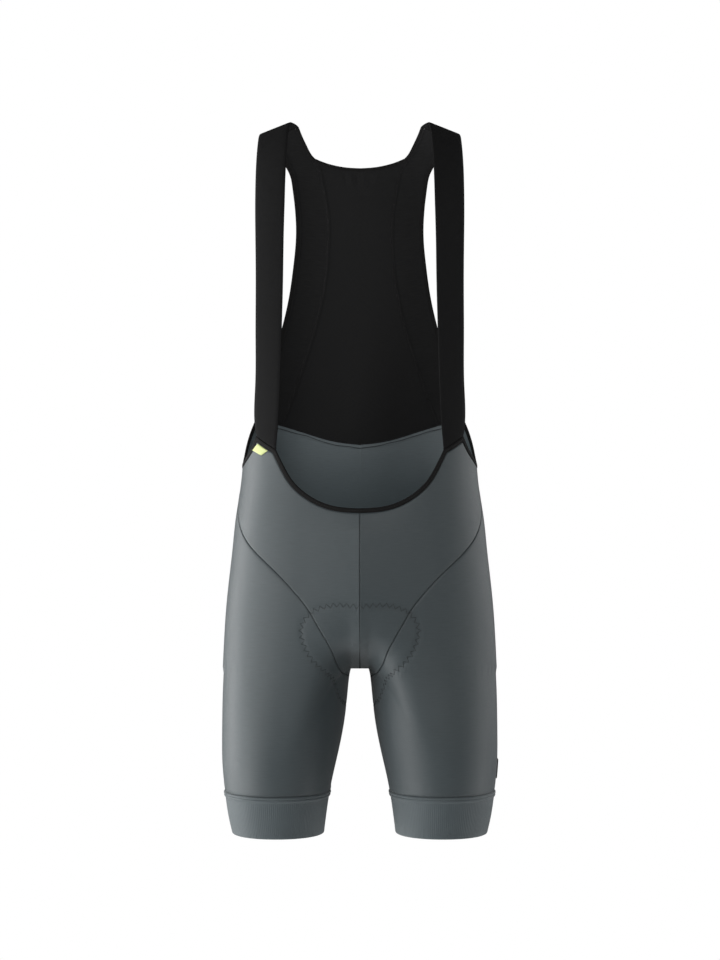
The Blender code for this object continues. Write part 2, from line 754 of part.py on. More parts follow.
def depth_inside(panels, points, normals):
    """How far in from the form each point lies once it clears the inner faces of the panels."""
    corners, facets = [], []
    for grid in panels:
        rows, columns = grid.shape[:2]
        number = len(corners) + np.arange(rows * columns).reshape(rows, columns)
        corners.extend(grid.reshape(-1, 3).tolist())
        around = (number[:-1, :-1], number[:-1, 1:], number[1:, 1:], number[1:, :-1])
        facets.extend(np.stack(around, axis=-1).reshape(-1, 4).tolist())
    tree = BVHTree.FromPolygons(corners, facets)
    depth = np.full(points.shape[:2], PAD_CLEARANCE)
    for spot in np.ndindex(depth.shape):
        for _ in range(PAD_FITTINGS):
            place = points[spot] - normals[spot] * depth[spot]
            nearest, facet_normal, _, _ = tree.find_nearest(place)
            short = PAD_CLEARANCE - np.dot(np.array(nearest) - place, facet_normal)
            depth[spot] = min(depth[spot] + max(0.0, short), PAD_DEEPEST)
    return depth


def seat_pad(panels):
    """The shaped pad, from its front edge to its back edge, with how deep it lies and how it swells."""
    quarters = {}
    for end, around, side, edge, top in (
        ("front", 0.0, PAD_FRONT_SIDE, PAD_FRONT_EDGE, PAD_FRONT_TOP_Z),
        ("back", 1.0, PAD_BACK_SIDE, PAD_BACK_EDGE, PAD_BACK_TOP_Z),
    ):
        bottom = cloth_point([(around, height) for height in PAD_UNDER])
        left = spaced(cloth_point(line((around, CROTCH_Z), (around, top), FINE_STEPS)), PAD_ROWS[end])
        right = seam(side, PAD_ROWS[end])
        far = seam(edge, len(PAD_UNDER) - 1)
        quarters[end] = settled(patch(bottom, far, left, right))
    half = np.concatenate([quarters["front"][::-1], quarters["back"][1:]])
    deep = depth_inside(panels, half, outward(half))
    whole = np.concatenate([(half * (-1, 1, 1))[:, :0:-1], half], axis=1)
    across = np.linspace(-1, 1, whole.shape[1])[None, :]
    along = np.linspace(-1, 1, whole.shape[0])[:, None]
    swell = PAD_RIM + PAD_SWELL * np.sqrt((1 - across**2) * (1 - along**2))
    return whole, np.concatenate([deep[:, :0:-1], deep], axis=1), swell


def small_patch(corners):
    bottom, top = line(corners[0], corners[1], TRIM_STEPS), line(corners[2], corners[3], TRIM_STEPS)
    left, right = line(corners[0], corners[2], TRIM_STEPS), line(corners[1], corners[3], TRIM_STEPS)
    return cloth_point(patch(bottom, top, left, right))


def main():
    for old in list(bpy.data.objects):
        bpy.data.objects.remove(old)
    slate = material("slate_stretch_fabric", (0.085, 0.105, 0.11), 0.45)
    elastic = material("black_elastic", (0.022, 0.022, 0.023), 0.7)
    knit_mesh = material("black_mesh_knit", (0.014, 0.014, 0.015), 0.85)
    edging = material("black_binding", (0.018, 0.017, 0.017), 0.6)
    padding = material("pad_foam_and_knit", (0.03, 0.032, 0.034), 0.9)
    lime = material("pale_lime_ribbon", (0.78, 0.85, 0.36), 0.6)
    dark_label = material("dark_label", (0.03, 0.03, 0.03), 0.5)

    lines = seam_lines()
    binding = front_binding(lines)
    grip, grip_outer = gripper()
    binding_outer = BINDING_START + BINDING * np.array([BINDING_EDGE_SHARE, 1.0, BINDING_EDGE_SHARE])[:, None]
    front, back, legs = front_panel(lines), back_panel(lines), leg_panel(lines)
    for mirrored, side in ((False, "left"), (True, "right")):
        wall(f"front_panel_{side}", front, 0, STRETCH_FABRIC, slate, mirrored=mirrored)
        wall(f"back_panel_{side}", back, 0, STRETCH_FABRIC, slate, mirrored=mirrored)
        wall(f"leg_panel_{side}", legs, 0, STRETCH_FABRIC, slate, mirrored=mirrored)
        wall(f"leg_gripper_{side}", grip, 0, grip_outer, slate, ring=True, mirrored=mirrored)
        wall(f"side_back_{side}", side_back(lines), 0, MESH_FABRIC, knit_mesh, mirrored=mirrored)
        wall(f"strap_{side}", strap(binding), 0, STRAP_ELASTIC, elastic, mirrored=mirrored)
        edged = armhole_binding(lines)
        wall(f"armhole_binding_{side}", edged, BINDING_START, binding_outer, edging, mirrored=mirrored)
    wall("mesh_back", mesh_panel(lines), 0, MESH_FABRIC, knit_mesh)
    wall("front_binding", binding, BINDING_START, binding_outer, edging)
    wall("neck_binding", neck_binding(lines), BINDING_START, binding_outer, edging)
    pad, deep, swell = seat_pad([front, back, legs])
    wall("seat_pad", pad, -deep - swell, -deep, padding)
    on_panel = STRETCH_FABRIC + GAP
    wall("strap_tab", small_patch(TAB_CORNERS), on_panel, on_panel + TAB_THICKNESS, lime, mirrored=True)
    wall("thigh_label", small_patch(LABEL_CORNERS), on_panel, on_panel + LABEL_THICKNESS, dark_label)


main()
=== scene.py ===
"""Cycling bib shorts: the finished cloth, elastics, stitching and pad, lit as in a plain white studio.

Sizes are in millimetres, scaled to metres once where a mesh or a material is made; those of the camera, the
lights, the floor and the cuts are in metres. +Z is up, the front faces -Y and the wearer's left is +X. The
cloth lies on one smooth form, a torso that runs into two legs. A place on it is either a chart place (way
round, height), from 0 at the centre front to 1 at the centre back, or, over the shoulders, a shoulder place
(x, drop below the shoulder line, positive behind it). Each piece replaces the solid whose place it takes.
"""

import math

import bmesh
import bpy
import numpy as np
from mathutils.bvhtree import BVHTree
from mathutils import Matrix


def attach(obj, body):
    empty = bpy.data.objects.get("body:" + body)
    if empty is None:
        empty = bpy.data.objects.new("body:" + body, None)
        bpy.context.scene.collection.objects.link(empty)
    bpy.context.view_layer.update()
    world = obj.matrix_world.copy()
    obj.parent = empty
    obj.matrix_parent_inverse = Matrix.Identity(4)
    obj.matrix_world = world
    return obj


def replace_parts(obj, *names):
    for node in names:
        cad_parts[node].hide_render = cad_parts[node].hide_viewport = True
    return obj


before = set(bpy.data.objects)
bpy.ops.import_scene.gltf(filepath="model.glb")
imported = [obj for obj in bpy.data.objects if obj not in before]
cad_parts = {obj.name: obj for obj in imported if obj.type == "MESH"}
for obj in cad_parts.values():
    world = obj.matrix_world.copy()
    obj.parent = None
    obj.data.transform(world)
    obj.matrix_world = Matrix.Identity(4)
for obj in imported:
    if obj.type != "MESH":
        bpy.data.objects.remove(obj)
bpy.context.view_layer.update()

# The form that the cloth lies on.
CROTCH_Z = -690.0
CROTCH_Y = 7.5
CROTCH_ROUND = 118.0
SADDLE_REACH = 80.0
SADDLE_DROP = 120.0
SADDLE_EASE = 1.2
SADDLE_SOFTNESS = 0.3
SADDLE_SQUARENESS = 2.4
TORSO_SQUARENESS = 2.35
LEG_SQUARENESS = 2.1
SHOULDER_Z = 7.7
SHOULDER_X = 86.0
SHOULDER_FALL = 0.385
SHOULDER_SQUARENESS = 2.2
SHOULDER_ROUND = {"front": 120.0, "back": 110.0}
FAN = 110.0
FAN_FLOOR = -130.0

SECTION_COLUMNS = ("height", "half_width", "front", "back")
SECTIONS = (
    (-915, 158, 65, 63),
    (-900, 161.6, 67.5, 65.5),
    (-880, 166.2, 71, 69),
    (-860, 169.4, 75, 73),
    (-835, 172.3, 79.5, 77.5),
    (-810, 174.4, 83.6, 82.4),
    (-785, 174.9, 87, 87.6),
    (-755, 174.7, 90, 93.6),
    (-720, 174.1, 92, 101),
    (CROTCH_Z, 173, 93.4, 108.4),
    (-660, 172.2, 95.6, 114),
    (-620, 170.3, 99.6, 119.5),
    (-580, 166.6, 103, 118),
    (-540, 162, 104, 111),
    (-500, 157.8, 103, 102),
    (-465, 152.4, 101, 94.5),
    (-430, 148.8, 99, 90),
    (-380, 149.5, 98, 90),
    (-320, 154, 99.5, 95),
    (-250, 159.5, 102, 103),
    (-180, 164, 103.5, 108.5),
    (-110, 166.5, 103, 110),
    (-40, 167.5, 100, 107),
    (20, 168, 97, 103),
)
INNER_LEG_COLUMNS = ("height", "inner")
INNER_LEG = (
    (-915, 48),
    (-900, 46.8),
    (-880, 44.4),
    (-860, 41.6),
    (-835, 37.2),
    (-810, 31.6),
    (-785, 26),
    (-755, 20.6),
    (-725, 17.2),
    (-705, 15.2),
    (-697, 14),
    (CROTCH_Z, 12.2),
)

# The seams, in chart places on one half.
INSEAM_TOP_Z = -706.0
UNDER_CROTCH_Z = CROTCH_Z - 0.02
GRIPPER_TOP_Z = -846.0
HEM_Z = -900.0
SIDE_TOP = (0.5, -436.0)
SIDE_LOW = (0.5, -462.0)
FRONT_PEAK = (0.294, -402.5)
SCOOP_END = (0.221, -416.5)
CENTRE_FRONT_TOP_Z = -491.0

FRONT_CURVE = (
    (0, INSEAM_TOP_Z), (0.05, -698.5), (0.1, -693), (0.078, -681), (0.07, -662),
    (0.075, -644), (0.086, -627), (0.1, -611), (0.122, -595.5), (0.163, -574.5),
    (0.222, -553), (0.279, -536), (0.327, -521.5), (0.375, -505), (0.438, -482), SIDE_LOW,
)
BACK_CURVE = (
    (1, INSEAM_TOP_Z), (0.95, -698.5), (0.895, -693), (0.925, -681), (0.9, -672),
    (0.872, -652), (0.835, -618), (0.785, -580), (0.715, -541), (0.64, -507),
    (0.57, -481), SIDE_LOW,
)
SCOOP = (
    (0, CENTRE_FRONT_TOP_Z), (0.036, -489.3), (0.073, -483.6), (0.117, -471.5), (0.156, -456.5),
    (0.184, -441), (0.203, -428.5), SCOOP_END,
)
FRONT_SIDE_EDGE = (FRONT_PEAK, (0.32, -413.5), (0.365, -424.5), (0.425, -432.5), SIDE_TOP)
# From the end of the waist seam on.
BACK_SIDE_EDGE = (
    (0.662, -373.6), (0.618, -393.5), (0.58, -411.5), (0.545, -426.5), SIDE_TOP,
)

# The seat pad's edge.
PAD_UNDER_Z = -737.0
PAD_FRONT_TOP_Z = -600.0
PAD_BACK_TOP_Z = -566.0
PAD_FRONT_SIDE = (
    (0, PAD_UNDER_Z), (0.055, -733), (0.1, -723), (0.125, -707), (0.127, -668),
    (0.127, -650), (0.121, -631), (0.096, -610),
)
PAD_FRONT_EDGE = ((0.0, PAD_FRONT_TOP_Z), (0.057, -601.0), (0.096, -610.0))
PAD_STITCH_FRONT = ((0.0, -604.5), (0.057, -605.5), (0.094, -613.5))
PAD_BACK_SIDE = (
    (1, PAD_UNDER_Z), (0.945, -732), (0.895, -720), (0.86, -700), (0.842, -670),
    (0.842, -635), (0.86, -603), (0.893, -577),
)
PAD_BACK_EDGE = ((1.0, PAD_BACK_TOP_Z), (0.945, -568.0), (0.893, -577.0))

# The bib, in shoulder places.
WAIST_SEAM = ((0.0, 444.6), (36.0, 426.2), (70.0, 403.3), (103.0, 380.5), (131.0, 364.0))
SHOULDER_SEAM_DROP = 18.0
MESH_SEAM = (
    (103, 380.5), (90.5, 353), (81, 327.5), (71.2, 301), (62.1, 275), (49.5, 227),
    (44.5, 195), (42.4, 165.5), (42, 143), (43.8, 116), (49.5, 90), (55, 73.5),
    (61.5, 64.3),
)
ARMHOLE = (
    (131, 364), (121.5, 335), (110.5, 298), (96, 251), (87, 212), (81.8, 175),
    (78.8, 143), (79.8, 105), (83, 83), (87, 66.5), (92, 57), (98.5, 44.5),
    (105.5, 31.5), (112, SHOULDER_SEAM_DROP),
)
NECK_SIDE = (
    (61.5, 64.3), (65.2, 60.4), (70.3, 52.8), (74, 45.3), (77.7, 37), (80.6, 29),
    (83.4, SHOULDER_SEAM_DROP),
)
NECKLINE = ((0.0, 90.9), (18.0, 85.4), (36.0, 78.3), (50.0, 71.3), (61.5, 64.3))
STRAP_COLUMNS = ("drop", "inner", "outer")
STRAP = (
    (-400, 103, 130.6),
    (-380, 101.5, 130.6),
    (-320, 98.6, 131),
    (-260, 96.6, 130.4),
    (-200, 95, 130),
    (-150, 94.2, 130.2),
    (-115, 93.2, 130.6),
    (-80, 92, 130.6),
    (-50, 90.4, 130),
    (-25, 88.6, 128.8),
    (0, 85.6, 126),
    (SHOULDER_SEAM_DROP, 78.6, 118.6),
)

# Walls, and how far each starts outside the form.
GAP = 0.3
SHARPEST_MITRE = 0.12
STRETCH_FABRIC = 1.2
MESH_FABRIC = 1.0
STRAP_ELASTIC = 1.4
BINDING = 2.2
BINDING_START = -0.5
EDGE_BINDING_WIDTH = 6.0
NECK_BINDING_WIDTH = 5.0
GRIPPER_ELASTIC = 1.3
PAD_CLEARANCE = 2.6
PAD_DEEPEST = 7.0
PAD_FITTINGS = 5
PAD_RIM = 1.6
PAD_SWELL = 5.6
TAB_CORNERS = ((0.3205, -412.6), (0.2685, -419.4), (0.2875, -404.1), (0.2385, -413.5))
LABEL_CORNERS = ((0.486, -831.0), (0.514, -831.0), (0.486, -806.0), (0.514, -806.0))

# How many steps the sides of the patches have. Pieces that meet share their steps.
SCOOP_STEPS = 54
STRAP_FOOT_STEPS = 12
FRONT_SIDE_STEPS = 24
WAIST_STEPS = 42
WAIST_END_STEPS = 18
BACK_SIDE_STEPS = 30
CENTRE_STEPS = 60
CENTRE_GATHER = 1.5
CROTCH_STEPS = 24
CURVE_STEPS = CENTRE_STEPS + SCOOP_STEPS + STRAP_FOOT_STEPS + FRONT_SIDE_STEPS
LEG_ROWS = 56
PAD_EDGE_STEPS = 60
PAD_SIDE_STEPS = {"front": 200, "back": 240}
PAD_SPOT_STRIDE = 4
MESH_ROWS = 80
YOKE_NECK_ROWS = 16
STRAP_ROWS = 150
FINE = 1200

METRES = 0.001
MERGE = 1e-6
SHARP = math.radians(55)
CLOSE = 1e-9
NUDGE = 0.05
SETTLING_ROUNDS = 12
LONGEST_REACH = 260.0
HALVINGS = 34
SHARPEST_TURN = 0.5
SHARPEST_END = 0.3
UP = (0.0, 0.0, 1.0)
FLIP = np.array((-1.0, 1.0, 1.0))
SIDES = ((False, "left"), (True, "right"))


def unit(vectors):
    return vectors / np.linalg.norm(vectors, axis=-1, keepdims=True)


def eased(share):
    """A share from 0 to 1 that starts and ends softly."""
    return share**2 * (3 - 2 * share)


def on_left(points):
    """Points with those on the wearer's right mirrored to the left."""
    return np.where(points[..., :1] < 0, points * FLIP, points)


def spline(knots, values, at):
    """A smooth curve through the knots, read at any place between the first and the last."""
    knots, values = np.asarray(knots, float), np.asarray(values, float)
    gap, rise = np.diff(knots), np.diff(values, axis=0)
    size = len(knots)
    system = np.eye(size)
    bend = np.zeros(values.shape)
    for i in range(1, size - 1):
        system[i, i - 1 : i + 2] = gap[i - 1], 2 * (gap[i - 1] + gap[i]), gap[i]
        bend[i] = 6 * (rise[i] / gap[i] - rise[i - 1] / gap[i - 1])
    bend = np.linalg.solve(system, bend)
    at = np.clip(at, knots[0], knots[-1])
    i = np.clip(np.searchsorted(knots, at, side="right") - 1, 0, size - 2)
    ahead = at - knots[i]
    left = knots[i + 1] - at
    if values.ndim > 1:
        ahead, left, gap = ahead[..., None], left[..., None], gap[:, None]
    return (
        (bend[i] * left**3 + bend[i + 1] * ahead**3) / (6 * gap[i])
        + (values[i] / gap[i] - bend[i] * gap[i] / 6) * left
        + (values[i + 1] / gap[i] - bend[i + 1] * gap[i] / 6) * ahead
    )


def column(table, columns, name, height):
    rows = np.array(table)
    return spline(rows[:, 0], rows[:, columns.index(name)], height)


def section(name, height):
    return column(SECTIONS, SECTION_COLUMNS, name, height)


def leg_sides(height):
    """The inner and outer reach of a leg's section. Above the crotch it goes on as a guide only."""
    return column(INNER_LEG, INNER_LEG_COLUMNS, "inner", height), section("half_width", height)


def leg_middle(height):
    y = (section("back", height) - section("front", height)) / 2
    return sum(leg_sides(height)) / 2, np.where(height >= CROTCH_Z, CROTCH_Y, y)


def shoulder_height(x):
    return SHOULDER_Z - (np.abs(x) - SHOULDER_X) * SHOULDER_FALL


def shoulder_share(drop, side):
    left = 1 - np.clip(drop / SHOULDER_ROUND[side], 0, 1)
    return (1 - left**SHOULDER_SQUARENESS) ** (1 / SHOULDER_SQUARENESS)


def rounded(ratio, squareness):
    """The squared depth of a section at a share of the way out to its side, negative past the side."""
    left = 1 - ratio**squareness
    return np.sign(left) * np.abs(left) ** (2 / squareness)


def form_excess(x, y, z):
    """How far a point's squared depth passes the form's: negative inside it and zero on it."""
    off = np.abs(x)
    inner, outer = leg_sides(z)
    half_width = (outer - inner) / 2
    reached = eased(np.clip((off - inner) / SADDLE_REACH, 0, 1))
    saddle = CROTCH_ROUND + SADDLE_DROP * reached
    sunk = np.clip((CROTCH_Z + CROTCH_ROUND - z) / saddle, 0, 1)
    torso_share = rounded(sunk, SADDLE_SQUARENESS) ** (1 + SADDLE_EASE * reached)
    legs = rounded(np.abs(off - inner - half_width) / half_width, LEG_SQUARENESS)
    softened = (legs + np.hypot(legs, SADDLE_SOFTNESS * torso_share)) / 2
    legs = np.where(z >= CROTCH_Z, softened, legs)
    squared = (1 - torso_share) * legs + torso_share * rounded(off / outer, TORSO_SQUARENESS)
    middle = leg_middle(z)[1]
    fall = shoulder_height(x) - z
    front = (section("front", z) + middle) * shoulder_share(fall, "front")
    back = (section("back", z) - middle) * shoulder_share(fall, "back")
    return (y - middle) ** 2 - np.where(y < middle, front, back) ** 2 * squared


def excess_at(points):
    return form_excess(*np.moveaxis(points, -1, 0))


def farthest(inside, shape):
    """How far along each of an array of rays the test of being inside still holds."""
    near, far = np.zeros(shape), np.full(shape, LONGEST_REACH)
    for _ in range(HALVINGS):
        middle = (near + far) / 2
        within = inside(middle)
        near, far = np.where(within, middle, near), np.where(within, far, middle)
    return near


def reach(start_x, start_y, way_x, way_y, z):
    """How far the form reaches from a point inside it, along a level direction and up to the middle plane."""

    def inside(far):
        x = start_x + way_x * far
        return (form_excess(x, start_y + way_y * far, z) < 0) & (x * np.sign(start_x) > -CLOSE)

    return farthest(inside, np.shape(z))


def cloth_point(chart):
    """The points on the form for chart rows of (way round, height). The wearer's right is past 1."""
    chart = np.asarray(chart, float)
    around, z = chart[..., 0] % 2, chart[..., 1]
    side = np.where(around > 1, -1.0, 1.0)
    around = np.where(around > 1, 2 - around, around)
    middle_x, middle_y = leg_middle(z)
    level = np.zeros(z.shape)
    above = z >= CROTCH_Z
    front = np.where(above, reach(level, level + CROTCH_Y, level, level - 1, z), 0)
    back = np.where(above, reach(level, level + CROTCH_Y, level, level + 1, z), 0)
    start, end = np.arctan2(front, middle_x), 2 * math.pi - np.arctan2(back, middle_x)
    turn = np.where(
        around < 0.5,
        start + (math.pi - start) * 2 * around,
        math.pi + (end - math.pi) * (2 * around - 1),
    )
    way_x, way_y = -np.cos(turn), -np.sin(turn)
    far = reach(middle_x, middle_y, way_x, way_y, z)
    x = np.where(above & (np.minimum(around, 1 - around) < CLOSE), 0, middle_x + way_x * far)
    return np.stack([x * side, middle_y + way_y * far, z], axis=-1)


def over_shoulder(places):
    """Points on the form for rows of (x, drop): drop runs down from the shoulder line, positive behind it."""
    x, drop = places[..., 0], places[..., 1]
    turn = np.clip(np.abs(drop) / FAN, 0, 1) * math.pi / 2
    height = shoulder_height(x) - np.maximum(np.abs(drop), FAN)
    way_y, way_z = np.where(drop < 0, -1, 1) * np.sin(turn), np.cos(turn)

    def inside(far):
        return form_excess(x, CROTCH_Y + way_y * far, height + way_z * far) < 0

    far = farthest(inside, x.shape)
    return np.stack([x, CROTCH_Y + way_y * far, height + way_z * far], axis=-1)


def shoulder_place(points):
    """The (x, drop) that over_shoulder turns into these points."""
    x, y, z = points[..., 0], points[..., 1] - CROTCH_Y, points[..., 2]
    fall = shoulder_height(x) - z
    turn = np.arctan2(np.abs(y), FAN - fall)
    return np.stack([x, np.sign(y) * np.where(fall < FAN, turn / (math.pi / 2) * FAN, fall)], axis=-1)


def on_level(points):
    """Points near the form, put back on it: on level rays low down, and on the fan over the shoulders."""
    x, y, z = points[..., 0], points[..., 1], points[..., 2]
    middle_x, middle_y = leg_middle(z)
    middle_x = middle_x * np.where(x < 0, -1, 1)
    far = np.hypot(x - middle_x, y - middle_y)
    way_x, way_y = (x - middle_x) / far, (y - middle_y) / far
    length = reach(middle_x, middle_y, way_x, way_y, z)
    low = np.stack([middle_x + way_x * length, middle_y + way_y * length, z], axis=-1)
    return np.where((z < FAN_FLOOR)[..., None], low, over_shoulder(shoulder_place(points)))


def slope_at(points):
    """How steeply the form's excess rises along each axis."""
    slope = np.empty(points.shape)
    for axis in range(3):
        ahead, behind = points.copy(), points.copy()
        ahead[..., axis] += NUDGE
        behind[..., axis] -= NUDGE
        slope[..., axis] = (excess_at(ahead) - excess_at(behind)) / (2 * NUDGE)
    return slope


def settled(points):
    """Points near the form, brought onto it down its slope. The ends of each row and column stay."""
    for _ in range(SETTLING_ROUNDS):
        slope = slope_at(points)
        move = excess_at(points)[..., None] * slope / np.sum(slope**2, axis=-1, keepdims=True)
        for edge in (0, -1):
            move[edge] = 0
            if points.ndim > 2:
                move[:, edge] = 0
        points = points - move
    return points


def outward(points):
    """The form's unit normals at points on it."""
    place = shoulder_place(points)
    aside = over_shoulder(place + [NUDGE, 0]) - over_shoulder(place - [NUDGE, 0])
    down = over_shoulder(place + [0, NUDGE]) - over_shoulder(place - [0, NUDGE])
    return unit(np.where((points[..., 2] < FAN_FLOOR)[..., None], slope_at(points), np.cross(aside, down)))


def along(points):
    """How far along a run of points each one is."""
    return np.concatenate([[0], np.cumsum(np.linalg.norm(np.diff(points, axis=0), axis=1))])


def spaced(points, count, gather=1.0):
    """Points in count steps along a finely sampled curve: even ones, or gathered towards its start."""
    run = along(points)
    at = run[-1] * np.linspace(0, 1, count + 1) ** gather
    return np.stack([np.interp(at, run, points[:, axis]) for axis in range(points.shape[1])], axis=-1)


def seam(rows, count):
    """Points in count even steps along the smooth curve on the form through the chart places of a table."""
    knots = cloth_point(rows)
    run = along(knots)
    points = spaced(settled(spline(run, knots, np.linspace(0, run[-1], FINE))), count)
    return settled(points)


def even(rows, count):
    """Shoulder places in count steps along the smooth curve through those of a table, even on the form."""
    rows = np.array(rows, float)
    run = along(over_shoulder(rows))
    fine = spline(run, rows, np.linspace(0, run[-1], FINE))
    run = along(over_shoulder(fine))
    at = np.linspace(0, run[-1], count + 1)
    return np.stack([np.interp(at, run, fine[:, 0]), np.interp(at, run, fine[:, 1])], axis=-1)


def chain(*stretches):
    """Sampled curves end to end, each joint kept once."""
    return np.concatenate([stretches[0]] + [stretch[1:] for stretch in stretches[1:]])


def line(start, end, count):
    return np.linspace(start, end, count + 1)


def patch(bottom, top, left, right):
    """A grid of places between four sampled sides, which meet at their ends."""
    s = np.linspace(0, 1, len(bottom))[None, :, None]
    t = np.linspace(0, 1, len(left))[:, None, None]
    own_left = left[:, None] - ((1 - t) * left[0] + t * left[-1])
    own_right = right[:, None] - ((1 - t) * right[0] + t * right[-1])
    return (1 - t) * bottom + t * top + (1 - s) * own_left + s * own_right


def mirror_round(half):
    return np.concatenate([(half * FLIP)[::-1], half[1:]])


def mirror_places(half):
    return np.concatenate([(half * (-1, 1))[:0:-1], half])


def across(edge):
    """The direction on the form square to a run of points, on its left going along it, and mitred."""
    normals = outward(edge)
    run = unit(np.diff(edge, axis=0))
    before, after = np.vstack([run[:1], run]), np.vstack([run, run[-1:]])
    way, square = unit(np.cross(normals, before + after)), unit(np.cross(normals, before))
    return way / np.clip(np.sum(way * square, axis=1, keepdims=True), SHARPEST_TURN, 1)


def seam_lines():
    """The seams that pieces share: points on the wearer's left, or shoulder places for those of the bib."""
    waist = even(WAIST_SEAM[:4], WAIST_STEPS)
    waist_end = even(WAIST_SEAM[3:], WAIST_END_STEPS)
    whole_waist = over_shoulder(chain(waist, waist_end))
    side_run = np.vstack([whole_waist[-1], seam(BACK_SIDE_EDGE, 2 * BACK_SIDE_STEPS)[1:]])
    return {
        "front curve": seam(FRONT_CURVE, CURVE_STEPS),
        "back curve": seam(BACK_CURVE, CURVE_STEPS),
        "front edge": chain(
            seam(SCOOP, SCOOP_STEPS),
            seam((SCOOP_END, FRONT_PEAK), STRAP_FOOT_STEPS),
            seam(FRONT_SIDE_EDGE, FRONT_SIDE_STEPS),
        ),
        "waist": waist,
        "waist end": waist_end,
        "whole waist": whole_waist,
        "back edge": settled(spaced(side_run, BACK_SIDE_STEPS)),
        "side": seam((SIDE_LOW, SIDE_TOP), 2 * CROTCH_STEPS),
        "mesh seam": even(MESH_SEAM, MESH_ROWS),
        "neck side": even(NECK_SIDE, YOKE_NECK_ROWS),
        "armhole": even(ARMHOLE, MESH_ROWS + YOKE_NECK_ROWS),
        "neckline": even(NECKLINE, WAIST_STEPS),
        "pad": pad_line(),
    }


def crotch_seam():
    """The short seam that the front and the back share under the crotch, from the inner leg to the middle."""
    down = cloth_point(line((0.0, INSEAM_TOP_Z), (0.0, UNDER_CROTCH_Z), CROTCH_STEPS))
    return chain(down, line(down[-1], cloth_point((0.0, CROTCH_Z)), CROTCH_STEPS))


def centre_seam(around, top, steps=CENTRE_STEPS, gather=CENTRE_GATHER):
    """The seam down the middle of the front or the back, from the crotch up."""
    return spaced(cloth_point(line((around, CROTCH_Z), (around, top), FINE)), steps, gather)


def inseam():
    return cloth_point(line((0.0, GRIPPER_TOP_Z), (0.0, INSEAM_TOP_Z), LEG_ROWS))


def pad_line():
    """The line that the seat pad is stitched along on the wearer's left, from the front to the back."""
    front_side = (*PAD_FRONT_SIDE[:-1], PAD_STITCH_FRONT[-1])
    front = chain(seam(PAD_STITCH_FRONT, PAD_EDGE_STEPS), seam(front_side, PAD_SIDE_STEPS["front"])[::-1])
    back = chain(seam(PAD_BACK_SIDE, PAD_SIDE_STEPS["back"]), seam(PAD_BACK_EDGE, PAD_EDGE_STEPS)[::-1])
    return chain(front, back)


# The relief of the worn cloth. Each crease has its start, its end, its rise and its width.
CREASES = {
    "left": (
        ((0.03, -668), (0.16, -640), -0.8, 6),
        ((0.02, -655), (0.11, -632), 0.7, 6),
        ((0.1, -700), (0.22, -664), -1.1, 8),
        ((0.08, -716), (0.24, -690), 0.8, 9),
        ((0.18, -600), (0.34, -566), 0.5, 8),
        ((0.42, -486), (0.47, -446), -0.7, 6),
        ((0.97, -702), (0.82, -668), -1.2, 8),
        ((0.98, -722), (0.8, -700), 0.9, 9),
        ((0.9, -640), (0.74, -604), -0.7, 9),
        ((0.8, -806), (0.62, -796), -0.6, 8),
        ((0.72, -826), (0.58, -832), 0.6, 6),
    ),
    "right": (
        ((0.02, -664), (0.12, -646), -0.9, 5),
        ((0.05, -682), (0.17, -652), 0.7, 6),
        ((0.09, -704), (0.25, -676), -1, 8),
        ((0.12, -590), (0.3, -556), 0.5, 9),
        ((0.4, -478), (0.46, -450), -0.6, 6),
        ((0, -843), (0.03, -843), 1, 4),
        ((0.98, -698), (0.84, -672), -1.1, 8),
        ((0.97, -728), (0.83, -708), 0.9, 8),
        ((0.86, -628), (0.72, -584), -0.8, 9),
        ((0.82, -812), (0.66, -806), -0.6, 8),
    ),
}
BIB_CREASES = (
    ((-22, 86), (-16, 99), 0.7, 2.2),
    ((-13, 88), (-9, 101), -0.6, 2.4),
    ((-4, 90), (-2, 104), 0.7, 2.3),
    ((6, 90), (5, 100), -0.7, 2.1),
    ((14, 88), (13, 102), 0.6, 2.3),
    ((23, 85), (21, 97), -0.5, 2.2),
    ((-32, 105), (30, 106), 0.4, 4),
    ((-98, 380), (-70, 402), 0.6, 2.4),
    ((-103, 390), (-78, 412), -0.5, 3),
    ((70, 400), (96, 384), 0.5, 2.4),
    ((74, 410), (99, 394), -0.4, 3),
    ((-3, 443), (3, 443), 1, 3),
)
CENTRE_RIDGE = {
    "rise": 9.0,
    "half_width": 74.0,
    "sharpness": 1.5,
    "top": -478.0,
    "top_fade": 36.0,
    "foot": -680.0,
    "foot_fade": 40.0,
}
CROTCH_FILL = {"rise": 5.0, "height": -650.0, "half_width": 32.0, "half_height": 24.0}
PAD_STITCH_DIP = 0.7
PAD_STITCH_DIP_WIDTH = 3.0
WAIST_HEIGHT = -400.0  # the dip is looked for below it only


def crease_lines():
    """Each crease as a straight line between two points on the form, with its rise and width."""
    lines = []
    for mirrored, side in SIDES:
        for start, end, rise, width in CREASES[side]:
            ends = cloth_point((start, end))
            lines.append((*(ends * FLIP if mirrored else ends), rise, width))
    for start, end, rise, width in BIB_CREASES:
        lines.append((*over_shoulder(np.array((start, end))), rise, width))
    return lines


def distance_to(points, spots):
    """How far each point is from the nearest of a run of spots."""
    nearest = np.full(points.shape[:-1], np.inf)
    for spot in spots:
        nearest = np.minimum(nearest, np.sum((points - spot) ** 2, axis=-1))
    return np.sqrt(nearest)


